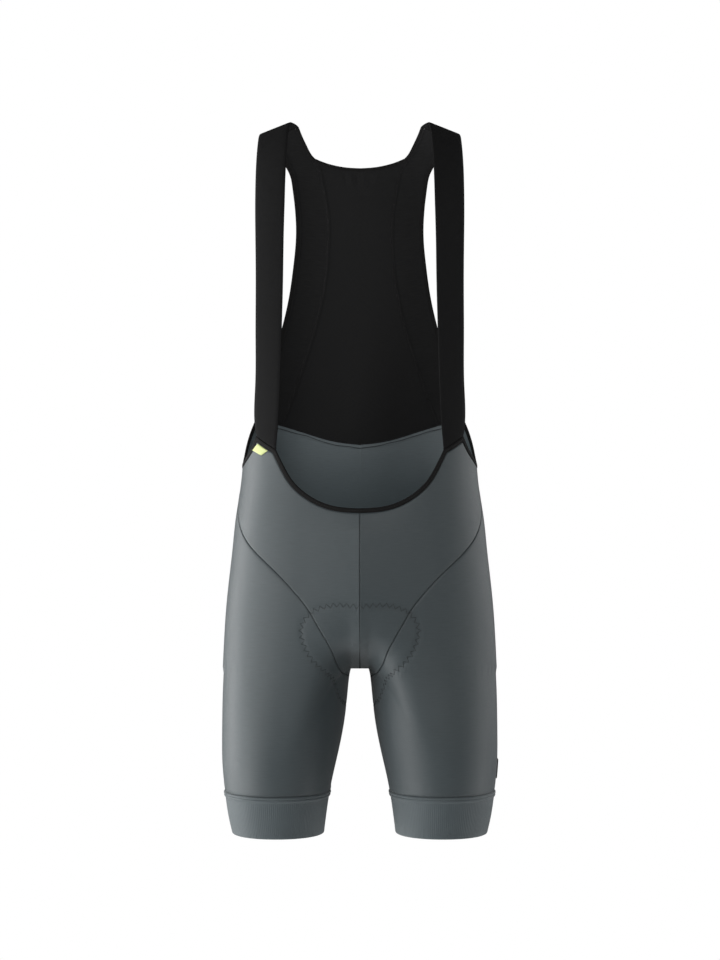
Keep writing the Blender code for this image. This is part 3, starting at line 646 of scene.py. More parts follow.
def relief(points):
    """How far the worn cloth stands proud of the smooth form at points on it."""
    rise = np.zeros(points.shape[:-1])
    for start, end, height, width in CREASE_LINES:
        run = end - start
        share = np.clip((points - start) @ run / (run @ run), 0, 1)
        off = np.linalg.norm(points - start - share[..., None] * run, axis=-1)
        rise += height * np.sin(math.pi * share) ** 2 * np.exp(-((off / width) ** 2))
    x, y, z = np.moveaxis(points, -1, 0)
    top = np.clip((CENTRE_RIDGE["top"] - z) / CENTRE_RIDGE["top_fade"], 0, 1)
    foot = eased(np.clip((z - CENTRE_RIDGE["foot"]) / CENTRE_RIDGE["foot_fade"], 0, 1))
    beside = np.clip(1 - np.abs(x) / CENTRE_RIDGE["half_width"], 0, 1) ** CENTRE_RIDGE["sharpness"]
    above = (z - CROTCH_FILL["height"]) / CROTCH_FILL["half_height"]
    fill = CROTCH_FILL["rise"] * np.exp(-((x / CROTCH_FILL["half_width"]) ** 2) - above**2)
    rise += np.where(y < 0, (CENTRE_RIDGE["rise"] * top * beside + fill) * foot, 0)
    if (z < WAIST_HEIGHT).any():
        off = distance_to(on_left(points), LINES["pad"][::PAD_SPOT_STRIDE])
        rise -= PAD_STITCH_DIP * np.exp(-((off / PAD_STITCH_DIP_WIDTH) ** 2))
    return rise


def rim_loops(rows, columns, ring):
    """The rims of a grid as closed runs of row and column numbers: one all round, or two on a ring."""
    over, up = np.arange(columns - 1), np.arange(rows - 1)
    if ring:
        return [(np.full(over.shape, row), over) for row in (0, rows - 1)]
    row = np.concatenate([0 * over, up, 0 * over + rows - 1, rows - 1 - up])
    column = np.concatenate([over, 0 * up + columns - 1, columns - 1 - over, 0 * up])
    return [(row, column)]


def drawn_in(points, normals, ring):
    """The grid with each free rim drawn in by half the gap that pieces keep at a seam, and mitred."""
    moved = points.copy()
    rows, columns = points.shape[:2]
    middle = columns // 2
    for loop in rim_loops(rows, columns, ring):
        run = np.roll(points[loop], -1, axis=0) - points[loop]
        before = unit(np.cross(normals[loop], np.roll(run, 1, axis=0)))
        after = unit(np.cross(normals[loop], run))
        opening = 1 + np.sum(before * after, axis=1, keepdims=True)
        mitre = (before + after) / np.maximum(opening, SHARPEST_MITRE)
        inward = points[abs(loop[0][middle] - 1), loop[1][middle]] - points[loop][middle]
        moved[loop] += mitre * np.sign(np.dot(mitre[middle], inward)) * GAP / 2
    if ring:
        moved[:, -1] = moved[:, 0]
    return moved


# A piece of cloth turns down to its seam this far in from its edge, and keeps these shares of its thickness.
ROLL = 0.8
ROLL_RIM = 0.35
ROLL_TOP = 0.86


def with_roll_rows(grid):
    """The grid with one more row and column, close inside each rim, for the roll of the cloth's edge."""
    for _ in ("rows", "columns"):
        rims, beside = grid[[0, -1]], grid[[1, -2]]
        step = np.linalg.norm(beside - rims, axis=-1, keepdims=True)
        turned = rims + (beside - rims) * np.clip(ROLL / np.maximum(step, CLOSE), 0, 0.5)
        grid = np.concatenate([grid[:1], turned[:1], grid[1:-1], turned[1:], grid[-1:]]).swapaxes(0, 1)
    return grid


def roll(shape):
    """The share of its thickness that the cloth has: less at its rims, where it turns down."""
    share = np.full(shape, ROLL_RIM)
    share[1:-1, 1:-1] = ROLL_TOP
    share[2:-2, 2:-2] = 1.0
    return share


# Places on the flat cloth, in millimetres, that the weaves and knits are drawn on.
TORSO_ROUND = 135.0
LEG_ROUND = 82.0


def round_torso(points):
    return np.stack([np.arctan2(points[..., 0], -points[..., 1]) * TORSO_ROUND, points[..., 2]], axis=-1)


def round_leg(points):
    """Round the leg from its inner side, so that the jump lies on the inseam."""
    middle_x, middle_y = leg_middle(points[..., 2])
    turn = np.arctan2(points[..., 1] - middle_y, np.abs(points[..., 0]) - middle_x)
    return np.stack([turn * LEG_ROUND, points[..., 2]], axis=-1)


def on_grid(points):
    """Distances across and along a grid that is itself the shape of the piece."""
    steps = [np.linalg.norm(np.diff(points, axis=axis), axis=-1) for axis in (1, 0)]
    u = np.concatenate([np.zeros((points.shape[0], 1)), np.cumsum(steps[0], axis=1)], axis=1)
    v = np.concatenate([np.zeros((1, points.shape[1])), np.cumsum(steps[1], axis=0)])
    return np.stack([u, v], axis=-1)


def wall(name, points, inner, outer, finish, places, ring=False, mirrored=False, rolled=True):
    """One piece of cloth from a grid of points on the form: a closed wall between two distances out."""
    normals = outward(points)
    if ring:
        normals[:, -1] = normals[:, 0]
    points = drawn_in(points, normals, ring)
    if rolled:
        points, normals = with_roll_rows(points), with_roll_rows(normals)
        outer = inner + (outer - inner) * roll(points.shape[:2])
    cut = places(points)
    if ring:  # the last column goes on past the first, so that the pattern doesn't run back
        cut[:, -1, 0] = cut[:, -2, 0] * 2 - cut[:, -3, 0]
    if mirrored:
        points, normals = points * FLIP, normals * FLIP
    lift = relief(points)
    inner, outer = (np.broadcast_to(face + lift, points.shape[:2])[..., None] for face in (inner, outer))
    return grid_mesh(name, (points + normals * inner, points + normals * outer), cut, finish, ring)


def grid_mesh(name, faces, cut, finish, ring):
    """A closed mesh between two grids of points, with the places on the flat cloth as its UV map."""
    rows, columns = cut.shape[:2]
    work = bmesh.new()
    spot = work.verts.layers.int.new("spot")
    flat = work.loops.layers.uv.new("cut")
    inner_side = work.faces.layers.float.new("inner_side")
    bmesh.ops.create_grid(work, x_segments=columns - 1, y_segments=rows - 1, size=1.0)
    for vert in work.verts:
        over = round((vert.co.x + 1) / 2 * (columns - 1))
        up = round((vert.co.y + 1) / 2 * (rows - 1))
        vert[spot] = up * columns + over
        vert.co = faces[0][up, over] * METRES
    inner_faces = work.faces[:]
    made = bmesh.ops.extrude_face_region(work, geom=inner_faces, use_keep_orig=True)
    for face in inner_faces:
        face[inner_side] = 1.0
    for vert in made["geom"]:
        if isinstance(vert, bmesh.types.BMVert):
            vert.co = faces[1][divmod(vert[spot], columns)] * METRES
    for face in work.faces:
        for corner in face.loops:
            corner[flat].uv = cut[divmod(corner.vert[spot], columns)] * METRES
    if ring:
        end_columns = {0}, {columns - 1}
        ends = [face for face in work.faces if {vert[spot] % columns for vert in face.verts} in end_columns]
        bmesh.ops.delete(work, geom=ends, context="FACES_ONLY")
        bmesh.ops.remove_doubles(work, verts=work.verts[:], dist=MERGE)
    return finished(name, work, finish)


pieces = {}


def placed(name, data):
    """A new object in the scene."""
    thing = bpy.data.objects.new(name, data)
    bpy.context.scene.collection.objects.link(thing)
    return thing


def finished(name, work, finish):
    """The piece of a bmesh in one of the finishes, kept in pieces under its name."""
    bmesh.ops.recalc_face_normals(work, faces=work.faces[:])
    mesh = bpy.data.meshes.new(name)
    work.to_mesh(mesh)
    work.free()
    mesh.shade_smooth()
    mesh.set_sharp_from_angle(angle=SHARP)
    mesh.materials.append(FINISHES[finish])
    pieces[name] = placed(name, mesh)
    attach(pieces[name], "root")
    return pieces[name]


# Panels.


def front_panel():
    top = chain(centre_seam(0.0, CENTRE_FRONT_TOP_Z), LINES["front edge"])
    return settled(patch(LINES["front curve"], top, crotch_seam(), LINES["side"]))


def back_panel():
    waist = LINES["whole waist"]
    top = chain(centre_seam(1.0, waist[0, 2]), waist, LINES["back edge"])
    return settled(patch(LINES["back curve"], top, crotch_seam(), LINES["side"]))


def leg_panel():
    top = chain(LINES["front curve"], LINES["back curve"][::-1])
    bottom = cloth_point(line((0.0, GRIPPER_TOP_Z), (1.0, GRIPPER_TOP_Z), 2 * CURVE_STEPS))
    inner = inseam()
    return settled(patch(bottom, top, inner, inner))


RIB = 2.4
RIB_STEPS = 4
RIB_RISE = 0.35
RIBBED = (-899.0, -853.2)
PLAIN_LEVELS = (-895.0, -854.5, 9)
RIDGE = ((-846, 0.2), (-846.8, 1.3), (-848, 1.5), (-849.4, 0.5), (-850.6, 1.5), (-852, 1.2), (-853, 0.1))
HEM_TURN = ((HEM_Z, -0.7), (-899.5, -0.25), (-898.6, 0))
GRIPPER_LENGTH = 432.0


def gripper():
    """The ribbed band at the hem with the double stitched ridge at its top, and how far out it stands."""
    around = line(0.0, 1.0, round(GRIPPER_LENGTH / RIB) * RIB_STEPS)
    plain = [(height, 0.0) for height in np.linspace(*PLAIN_LEVELS)]
    heights, proud = np.array([*HEM_TURN, *plain, *RIDGE[::-1]]).T
    ribbed = (heights > RIBBED[0]) & (heights < RIBBED[1])
    wave = (np.cos(2 * math.pi * np.arange(len(around)) / RIB_STEPS) - 1) / 2 * RIB_RISE
    places = np.stack(np.meshgrid(around, heights), axis=-1)
    return cloth_point(places), GRIPPER_ELASTIC + proud[:, None] + ribbed[:, None] * wave[None, :]


def mesh_panel():
    bottom = mirror_places(LINES["waist"])
    side = LINES["mesh seam"]
    return over_shoulder(patch(bottom, mirror_places(LINES["neckline"]), side * (-1, 1), side))


def side_back():
    inner = chain(LINES["mesh seam"], LINES["neck side"])
    outer = LINES["armhole"]
    shoulder = line(inner[-1], outer[-1], WAIST_END_STEPS)
    return over_shoulder(patch(LINES["waist end"], shoulder, inner, outer))


# Bindings and straps.
FOLD_SHARES = (0.0, 0.06, 0.18, 0.34, 0.5, 0.66, 0.82, 0.94, 1.0)
FOLD_OUTER = (0.5, 0.8, 0.97, 1.0, 0.93, 1.0, 0.97, 0.8, 0.5)
FOLD_INNER = (0.22, 0.08, 0.0, 0.0, 0.0, 0.0, 0.0, 0.08, 0.22)
FOLD_MIDDLE = len(FOLD_SHARES) // 2


def strip(edge, width, first, last):
    """A grid of points for a strip along an edge, on its left going along it, its ends cut as given."""
    way = across(edge)
    for end, cut in ((0, first), (-1, last)):
        way[end] = np.array(cut) / max(np.dot(cut, way[end]), SHARPEST_END)
    return np.stack([edge] + [on_level(edge + way * width * share) for share in FOLD_SHARES[1:]])


def along_seam(place, way):
    """The direction of the shoulder seam at a place on it, outwards for way 1 and inwards for way -1."""
    start, end = over_shoulder(np.array([place, place + (way, 0)]))
    return unit(end - start)


def binding(name, grid, mirrored=False):
    """A folded elastic binding, rounded over its two edges."""
    inner, outer = (BINDING_START + BINDING * np.array(fold)[:, None] for fold in (FOLD_INNER, FOLD_OUTER))
    return wall(name, grid, inner, outer, "binding", on_grid, mirrored=mirrored, rolled=False)


def front_binding():
    return strip(mirror_round(LINES["front edge"]), EDGE_BINDING_WIDTH, UP, UP)


def armhole_binding():
    edge = np.concatenate([LINES["back edge"][::-1], over_shoulder(LINES["armhole"])[1:]])
    return strip(edge, EDGE_BINDING_WIDTH, UP, along_seam(LINES["armhole"][-1], 1))


def neck_binding():
    edge = over_shoulder(chain(LINES["neckline"], LINES["neck side"]))
    inward = along_seam(LINES["neck side"][-1], -1)
    return strip(mirror_round(edge)[::-1], NECK_BINDING_WIDTH, inward, inward * FLIP)


def strap_foot(folded):
    """The run of the front binding's upper edge that the left strap is sewn to."""
    start = 2 * SCOOP_STEPS + STRAP_FOOT_STEPS + FRONT_SIDE_STEPS
    return folded[-1][start : start + STRAP_FOOT_STEPS + 1]


def strap(folded):
    """One strap, from the binding at its foot, up the front, over the shoulder to the seam behind it."""
    foot = shoulder_place(strap_foot(folded))
    rows = np.array(STRAP)
    sides = []
    for corner, name in ((foot[0], "inner"), (foot[-1], "outer")):
        edge = np.stack([rows[1:, STRAP_COLUMNS.index(name)], rows[1:, 0]], axis=-1)
        sides.append(even(np.vstack([corner, edge]), STRAP_ROWS))
    return over_shoulder(patch(foot, line(sides[0][-1], sides[1][-1], STRAP_FOOT_STEPS), *sides))


# The seat pad.
PAD_ROWS = {"front": 36, "back": 42}
PAD_COLUMNS = 24
PAD_GATHER = 1.25
PAD_CHANNELS = (0.3, 0.66)
PAD_CHANNEL_WIDTH = 0.045
PAD_CHANNEL_DEPTH = 0.62
PAD_CHANNEL_BEND = 0.35
PAD_CHANNEL_END = 2.2
PAD_CHANNEL_FADE = 2.4


def depth_inside(panels, points, normals):
    """How far in from the form each point lies once it clears the inner faces of the panels."""
    corners, facets = [], []
    for grid in panels:
        rows, columns = grid.shape[:2]
        number = len(corners) + np.arange(rows * columns).reshape(rows, columns)
        corners.extend(grid.reshape(-1, 3).tolist())
        square = (number[:-1, :-1], number[:-1, 1:], number[1:, 1:], number[1:, :-1])
        facets.extend(np.stack(square, axis=-1).reshape(-1, 4).tolist())
    tree = BVHTree.FromPolygons(corners, facets)
    depth = np.full(points.shape[:2], PAD_CLEARANCE)
    for spot in np.ndindex(depth.shape):
        for _ in range(PAD_FITTINGS):
            place = points[spot] - normals[spot] * depth[spot]
            nearest, facet_normal, _, _ = tree.find_nearest(place)
            short = PAD_CLEARANCE - np.dot(np.array(nearest) - place, facet_normal)
            depth[spot] = min(depth[spot] + max(0.0, short), PAD_DEEPEST)
    return depth


def pad_under():
    """Chart heights down the inner leg that the pad's middle row follows."""
    steps = np.linspace(0, 1, PAD_COLUMNS)
    return [CROTCH_Z, *(UNDER_CROTCH_Z + (PAD_UNDER_Z - UNDER_CROTCH_Z) * steps**PAD_GATHER)]


def seat_pad(panels):
    """The moulded pad: its grid, how deep it lies, and its thickness with soft channels between its lobes."""
    under = pad_under()
    quarters = {}
    for end, around, side, edge, top in (
        ("front", 0.0, PAD_FRONT_SIDE, PAD_FRONT_EDGE, PAD_FRONT_TOP_Z),
        ("back", 1.0, PAD_BACK_SIDE, PAD_BACK_EDGE, PAD_BACK_TOP_Z),
    ):
        bottom = cloth_point([(around, height) for height in under])
        left = centre_seam(around, top, PAD_ROWS[end], 1.0)
        quarters[end] = settled(patch(bottom, seam(edge, len(under) - 1), left, seam(side, PAD_ROWS[end])))
    half = np.concatenate([quarters["front"][::-1], quarters["back"][1:]])
    deep = depth_inside(panels, half, outward(half))
    whole = np.concatenate([(half * FLIP)[:, :0:-1], half], axis=1)
    over = np.linspace(-1, 1, whole.shape[1])[None, :]
    up = np.linspace(-1, 1, whole.shape[0])[:, None]
    swell = np.sqrt((1 - over**2) * (1 - up**2))
    for channel in PAD_CHANNELS:
        off = np.abs(over) - channel * (1 - PAD_CHANNEL_BEND * up**2)
        window = np.clip(PAD_CHANNEL_END - PAD_CHANNEL_FADE * np.abs(up), 0, 1)
        swell = swell * (1 - PAD_CHANNEL_DEPTH * np.exp(-((off / PAD_CHANNEL_WIDTH) ** 2)) * window)
    return whole, np.concatenate([deep[:, :0:-1], deep], axis=1), PAD_RIM + PAD_SWELL * swell


# Thread. Each kind has its radius and its finish.
THREADS = {
    "slate_flatlock": (0.15, "slate thread"),
    "black_flatlock": (0.17, "black thread"),
    "waist_overlock": (0.42, "black thread"),
    "binding_stitches": (0.2, "black thread"),
    "gripper_stitches": (0.2, "slate thread"),
    "pad_stitching": (0.3, "dark thread"),
}
STITCH_SINK = 0.45


def threads(name, runs):
    """Lengths of thread as one mesh, each run a tube through its points."""
    radius, finish = THREADS[name]
    curve = bpy.data.curves.new(name, "CURVE")
    curve.dimensions = "3D"
    curve.bevel_depth = radius * METRES
    curve.bevel_resolution = 1
    curve.use_fill_caps = True
    for run in runs:
        thread = curve.splines.new("POLY")
        thread.points.add(len(run) - 1)
        thread.points.foreach_set("co", np.hstack([run * METRES, np.ones((len(run), 1))]).ravel())
    shape = placed(name + "_line", curve)
    work = bmesh.new()
    work.from_mesh(shape.to_mesh())
    shape.to_mesh_clear()
    bpy.data.objects.remove(shape)
    bpy.data.curves.remove(curve)
    return finished(name, work, finish)


def lifted(points, lift):
    """Points on the form, moved out of the cloth with its relief."""
    normals = outward(on_left(points))
    normals = np.where(points[..., :1] < 0, normals * FLIP, normals)
    return points + normals * (lift + relief(points)[..., None])


def zigzag(edge, pitch, width, lift, parts=1):
    """A zigzag of thread along a run of points, in legs of so many parts that follow the cloth."""
    count = 2 * max(1, round(along(edge)[-1] / pitch))
    middle = spaced(edge, count)
    side = np.where(np.arange(count + 1) % 2, 1.0, -1.0)[:, None]
    tips = middle + across(middle) * side * width / 2
    share = np.arange(parts)[:, None] / parts
    legs = np.concatenate([a + (b - a) * share for a, b in zip(tips, tips[1:])] + [tips[-1:]])
    return lifted(on_level(legs), lift)


def stitches(edge, length, gap, lift):
    """A row of straight stitches, each a short arch with its ends sunk in the cloth."""
    count = max(1, round(along(edge)[-1] / (length + gap)))
    high, low = (lifted(spaced(edge, 4 * count), level) for level in (lift, lift - STITCH_SINK))
    return [np.array([low[i], high[i + 1], high[i + 2], low[i + 3]]) for i in range(0, 4 * count, 4)]


# Tapes and allowances. Each has its width, and how far its inner and outer faces lie outside the form.
TAPE_SHARES = (-1.0, -0.55, 0.0, 0.55, 1.0)
SEAM_TAPE = (6.0, -0.5, -0.08)
WAIST_TAPE = (4.4, -0.7, -0.08)
WAIST_ALLOWANCE = (5.0, -0.9, -0.08)
WAIST_TAPE_ASIDE = -1.9  # above the waist seam, and the allowance below it
WAIST_ALLOWANCE_ASIDE = 2.4
EDGE_ALLOWANCE = (3.2, -0.42, -0.08)
CLEAR_OF_CROTCH = 5  # the middle seams' tapes start this many points up from the crotch


def tape(name, edge, cut, finish, mirrored=False, aside=0.0):
    """A flat tape along a seam, or this far to its left going along it, just inside the cloth."""
    width, inner, outer = cut
    way = across(edge)
    grid = np.stack([on_level(edge + way * (aside + width / 2 * share)) for share in TAPE_SHARES])
    return wall(name, grid, inner, outer, finish, on_grid, mirrored=mirrored, rolled=False)


# Materials.
BANDS_A_UNIT = 20 / (2 * math.pi)  # of a wave texture at a scale of 1
YARN_SCALE = 900.0
YARN_STRETCH = 14.0
YARN_RISE = 0.8
COURSE_WAVER = 0.6
PICK_WAVER = 0.4
PICK_RISE = 0.4
# how strongly the grooves of woven elastic are painted darker, as shade
RIB_PAINTED_SHADE = 0.7
HOLE_UNEVENNESS = 0.12
THREAD_FINISH = {"roughness": 0.6, "sheen": 0.1}
THREAD_TWIST = 0.6
THREAD_DEPTH = 0.05
SHEEN_ROUGHNESS = 0.5
RAMP_ENDS = (0.25, 0.75)


def feed(tree, node, inputs):
    """Sets a node's inputs: a value where it is uniform, and a link where it is another node's output."""
    for socket, given in inputs.items():
        if isinstance(given, bpy.types.NodeSocket):
            tree.links.new(given, node.inputs[socket])
        else:
            node.inputs[socket].default_value = given


def add_node(tree, kind, inputs, **settings):
    node = tree.nodes.new(kind)
    for setting, value in settings.items():
        setattr(node, setting, value)
    feed(tree, node, inputs)
    return node


def fabric(name, colour, roughness, sheen=0.0, specular=0.5):
    """A cloth's material, its node tree and its shader, with the uniform values on the shader itself."""
    finish = bpy.data.materials.new(name)
    finish.use_nodes = True
    surface = finish.node_tree.nodes["Principled BSDF"]
    values = {"Base Color": (*colour, 1.0), "Roughness": roughness, "Specular IOR Level": specular}
    feed(finish.node_tree, surface, {**values, "Sheen Weight": sheen, "Sheen Roughness": SHEEN_ROUGHNESS})
    return finish, finish.node_tree, surface


def cut_map(tree):
    return add_node(tree, "ShaderNodeUVMap", {}, uv_map="cut").outputs["UV"]


def bands(tree, places, pitch, direction, distortion=0.0):
    """Even bands of this pitch across the flat cloth."""
    scale = 1 / (BANDS_A_UNIT * pitch * METRES)
    inputs = {"Vector": places, "Scale": scale, "Distortion": distortion, "Detail": 1.0}
    kind = {"wave_type": "BANDS", "bands_direction": direction, "wave_profile": "SIN"}
    return add_node(tree, "ShaderNodeTexWave", inputs, **kind).outputs["Fac"]


def combined(tree, operation, one, two):
    return add_node(tree, "ShaderNodeMath", {0: one, 1: two}, operation=operation).outputs["Value"]


def slub(tree, places):
    """Uneven yarn: noise drawn out along the courses of the knit."""
    scale = (YARN_SCALE / YARN_STRETCH, YARN_SCALE, YARN_SCALE)
    drawn_out = add_node(tree, "ShaderNodeMapping", {"Vector": places, "Scale": scale}).outputs["Vector"]
    inputs = {"Vector": drawn_out, "Scale": 1.0, "Detail": 3.0}
    return add_node(tree, "ShaderNodeTexNoise", inputs).outputs["Fac"]


def between_colours(tree, factor, dark, light):
    ramp = add_node(tree, "ShaderNodeValToRGB", {"Fac": factor})
    for element, position, colour in zip(ramp.color_ramp.elements, RAMP_ENDS, (dark, light)):
        element.position = position
        element.color = (*colour, 1.0)
    return ramp.outputs["Color"]


def woven(cloth, colour, height, depth):
    """A fabric's material, once it has its colour and the height of its weave."""
    finish, tree, surface = cloth
    bump = add_node(tree, "ShaderNodeBump", {"Height": height, "Strength": 1.0, "Distance": depth * METRES})
    feed(tree, surface, {"Base Color": colour, "Normal": bump.outputs["Normal"]})
    return finish


def painted_inside_light(tree, colour, gain):
    """The colour, brighter by this share on the inner side of the cloth: painted light, standing in for the
    light that bounces about inside the shorts.
    """
    side = add_node(tree, "ShaderNodeAttribute", {}, attribute_name="inner_side").outputs["Fac"]
    scale = combined(tree, "ADD", combined(tree, "MULTIPLY", side, gain), 1.0)
    scaled = add_node(tree, "ShaderNodeVectorMath", {0: colour, "Scale": scale}, operation="SCALE")
    return scaled.outputs["Vector"]


def knit(name, dark, light, roughness, course, wale, depth, sheen=0.0, specular=0.5, inside=0.0):
    """A fine knit: courses across, wales up, uneven yarn that shades its colour, and painted light that
    brightens its inner side by the share inside.
    """
    cloth = fabric(name, light, roughness, sheen, specular)
    tree = cloth[1]
    places = cut_map(tree)
    uneven = slub(tree, places)
    colour = between_colours(tree, uneven, dark, light)
    # painted light: the inner side of the cloth is made brighter by this share, for the light bouncing inside
    # the shorts
    if inside:
        colour = painted_inside_light(tree, colour, inside)
    courses, wales = bands(tree, places, course, "Y", COURSE_WAVER), bands(tree, places, wale, "X")
    loops = combined(tree, "MULTIPLY", courses, wales)
    yarn = combined(tree, "MULTIPLY", uneven, YARN_RISE)
    return woven(cloth, colour, combined(tree, "ADD", loops, yarn), depth)


def mesh_knit(name, dark, light, roughness, cell, depth, specular):
    """An even net of small round holes, lower than the yarn between them and painted darker as the shade
    inside them.
    """
    cloth = fabric(name, light, roughness, specular=specular)
    tree = cloth[1]
    inputs = {"Vector": cut_map(tree), "Scale": 1 / (cell * METRES), "Randomness": HOLE_UNEVENNESS}
    distance = add_node(tree, "ShaderNodeTexVoronoi", inputs, feature="F1").outputs["Distance"]
    # painted shade: the colour darkens towards each hole's middle, as deep as the bump
    return woven(cloth, between_colours(tree, distance, dark, light), distance, depth)


def ribbed_elastic(name, dark, light, roughness, rib, pick, direction, depth, sheen=0.1, specular=0.4):
    """Woven elastic: cords one way, fine picks the other, its colour darker in the grooves as painted shade.
    """
    cloth = fabric(name, light, roughness, sheen, specular)
    tree = cloth[1]
    places = cut_map(tree)
    cords = bands(tree, places, rib, direction)
    picks = bands(tree, places, pick, "X" if direction == "Y" else "Y", PICK_WAVER)
    height = combined(tree, "ADD", cords, combined(tree, "MULTIPLY", picks, PICK_RISE))
    # painted shade: the colour follows the height of the weave, darker in the grooves
    shade = combined(tree, "MULTIPLY", height, RIB_PAINTED_SHADE)
    return woven(cloth, between_colours(tree, shade, dark, light), height, depth)


def twisted_thread(name, dark, light):
    """Sewing thread, with its twist as bands along it, darker in the twist's grooves as painted shade."""
    cloth = fabric(name, light, **THREAD_FINISH)
    tree = cloth[1]
    places = add_node(tree, "ShaderNodeTexCoord", {}).outputs["Object"]
    twist = bands(tree, places, THREAD_TWIST, "DIAGONAL")
    # painted shade: the colour follows the twist's height, darker in its grooves
    return woven(cloth, between_colours(tree, twist, dark, light), twist, THREAD_DEPTH)


def finishes():
    """Each finish: its dark and light colour, roughness, the pitches and depth of its weave, and sheen."""
    slate = (0.052, 0.067, 0.073), (0.062, 0.08, 0.087)
    grip = (0.07, 0.09, 0.098), (0.084, 0.108, 0.117)
    strap_black = (0.009, 0.009, 0.0093), (0.018, 0.018, 0.0184)
    binding_black = (0.008, 0.0078, 0.0078), (0.016, 0.0156, 0.0154)
    knit_black = (0.014, 0.014, 0.0144), (0.02, 0.02, 0.0204)
    mesh_black = (0.013, 0.013, 0.0134), (0.026, 0.026, 0.0264)
    pad_grey = (0.02, 0.022, 0.024), (0.034, 0.036, 0.038)
    lime = (0.66, 0.74, 0.27), (0.86, 0.92, 0.45)
    label_grey = (0.014, 0.014, 0.014), (0.03, 0.03, 0.03)
    return {
        # the slate's inner side is painted 80% brighter, as painted light inside the shorts
        "slate": knit("slate_stretch_fabric", *slate, 0.5, 0.8, 0.6, 0.06, 0.15, 0.6, inside=0.8),
        "grip": ribbed_elastic("ribbed_gripper", *grip, 0.6, 1.2, 0.6, "X", 0.06, 0.25, 0.5),
        "strap": ribbed_elastic("strap_elastic", *strap_black, 0.9, 1.1, 0.6, "X", 0.1, 0.0, 0.1),
        "binding": ribbed_elastic("folded_binding", *binding_black, 0.8, 0.9, 0.5, "Y", 0.08, 0.0, 0.15),
        "black knit": knit("black_knit", *knit_black, 0.9, 1.1, 0.8, 0.08, 0.0, 0.15),
        "mesh": mesh_knit("black_mesh_knit", *mesh_black, 0.9, 1.6, 0.2, 0.15),
        "pad": knit("pad_knit", *pad_grey, 0.9, 1.2, 1.2, 0.1, 0.2, 0.2),
        "slate thread": twisted_thread("slate_thread", (0.03, 0.036, 0.038), (0.05, 0.06, 0.063)),
        "dark thread": twisted_thread("dark_thread", (0.013, 0.015, 0.016), (0.024, 0.028, 0.03)),
        "black thread": twisted_thread("black_thread", (0.006, 0.006, 0.006), (0.016, 0.016, 0.016)),
        "lime": ribbed_elastic("lime_ribbon", *lime, 0.55, 0.8, 0.5, "Y", 0.08),
        "label": ribbed_elastic("dark_label", *label_grey, 0.5, 0.9, 0.9, "X", 0.03),
    }


# The pieces.
PATCH_STEPS = 12
TAB_THICKNESS = 1.2
LABEL_THICKNESS = 1.1


def small_patch(corners):
    rows = np.array(corners).reshape(2, 2, 2)
    sides = [line(*ends, PATCH_STEPS) for ends in (rows[0], rows[1], rows[:, 0], rows[:, 1])]
    return cloth_point(patch(*sides))


LINES = seam_lines()
CREASE_LINES = crease_lines()
FINISHES = finishes()

grids = {"front": front_panel(), "back": back_panel(), "leg": leg_panel(), "side": side_back()}
grip, grip_outer = gripper()
folded = front_binding()
strap_grid = strap(folded)
armhole_grid = armhole_binding()
neck_grid = neck_binding()
for mirrored, side in SIDES:
    for kind, places in (("front", round_torso), ("back", round_torso), ("leg", round_leg)):
        name = f"{kind}_cloth_{side}"
        cloth = wall(name, grids[kind], 0, STRETCH_FABRIC, "slate", places, mirrored=mirrored)
        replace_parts(cloth, f"{kind}_panel_{side}")
    name = f"gripper_band_{side}"
    band = wall(name, grip, 0, grip_outer, "grip", round_leg, ring=True, mirrored=mirrored, rolled=False)
    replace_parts(band, f"leg_gripper_{side}")
    name = f"side_cloth_{side}"
    cloth = wall(name, grids["side"], 0, MESH_FABRIC, "black knit", on_grid, mirrored=mirrored)
    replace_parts(cloth, f"side_back_{side}")
    elastic = wall(f"strap_elastic_{side}", strap_grid, 0, STRAP_ELASTIC, "strap", on_grid, mirrored=mirrored)
    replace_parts(elastic, f"strap_{side}")
    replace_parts(binding(f"armhole_fold_{side}", armhole_grid, mirrored), f"armhole_binding_{side}")
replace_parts(wall("mesh_cloth", mesh_panel(), 0, MESH_FABRIC, "mesh", on_grid), "mesh_back")
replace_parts(binding("front_fold", folded), "front_binding")
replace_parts(binding("neck_fold", neck_grid), "neck_binding")

pad_grid, deep, thick = seat_pad([grids["front"], grids["back"], grids["leg"]])
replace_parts(wall("pad_cushion", pad_grid, -deep - thick, -deep, "pad", on_grid, rolled=False), "seat_pad")
proud = STRETCH_FABRIC + GAP
tab_grid = small_patch(TAB_CORNERS)
tab = wall("ribbon_tab", tab_grid, proud, proud + TAB_THICKNESS, "lime", on_grid, mirrored=True)
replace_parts(tab, "strap_tab")
label = wall("plain_label", small_patch(LABEL_CORNERS), proud, proud + LABEL_THICKNESS, "label", on_grid)
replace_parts(label, "thigh_label")

# Seams: a tape inside each one, and the thread that joins it. A zigzag has its pitch, its width and its lift,
# and the pad's also the parts of each leg.
SLATE_ZIGZAG = (1.8, 2.0, STRETCH_FABRIC - 0.05)
MESH_ZIGZAGS = ((2.2, 2.2, MESH_FABRIC - 0.05), (2.2, 2.2, -0.6))
WAIST_ZIGZAGS = ((2.4, 3.6, -0.8), (2.4, 3.2, MESH_FABRIC + 0.05))
PAD_ZIGZAG = (8.2, 5.6, STRETCH_FABRIC + 0.1, 4)

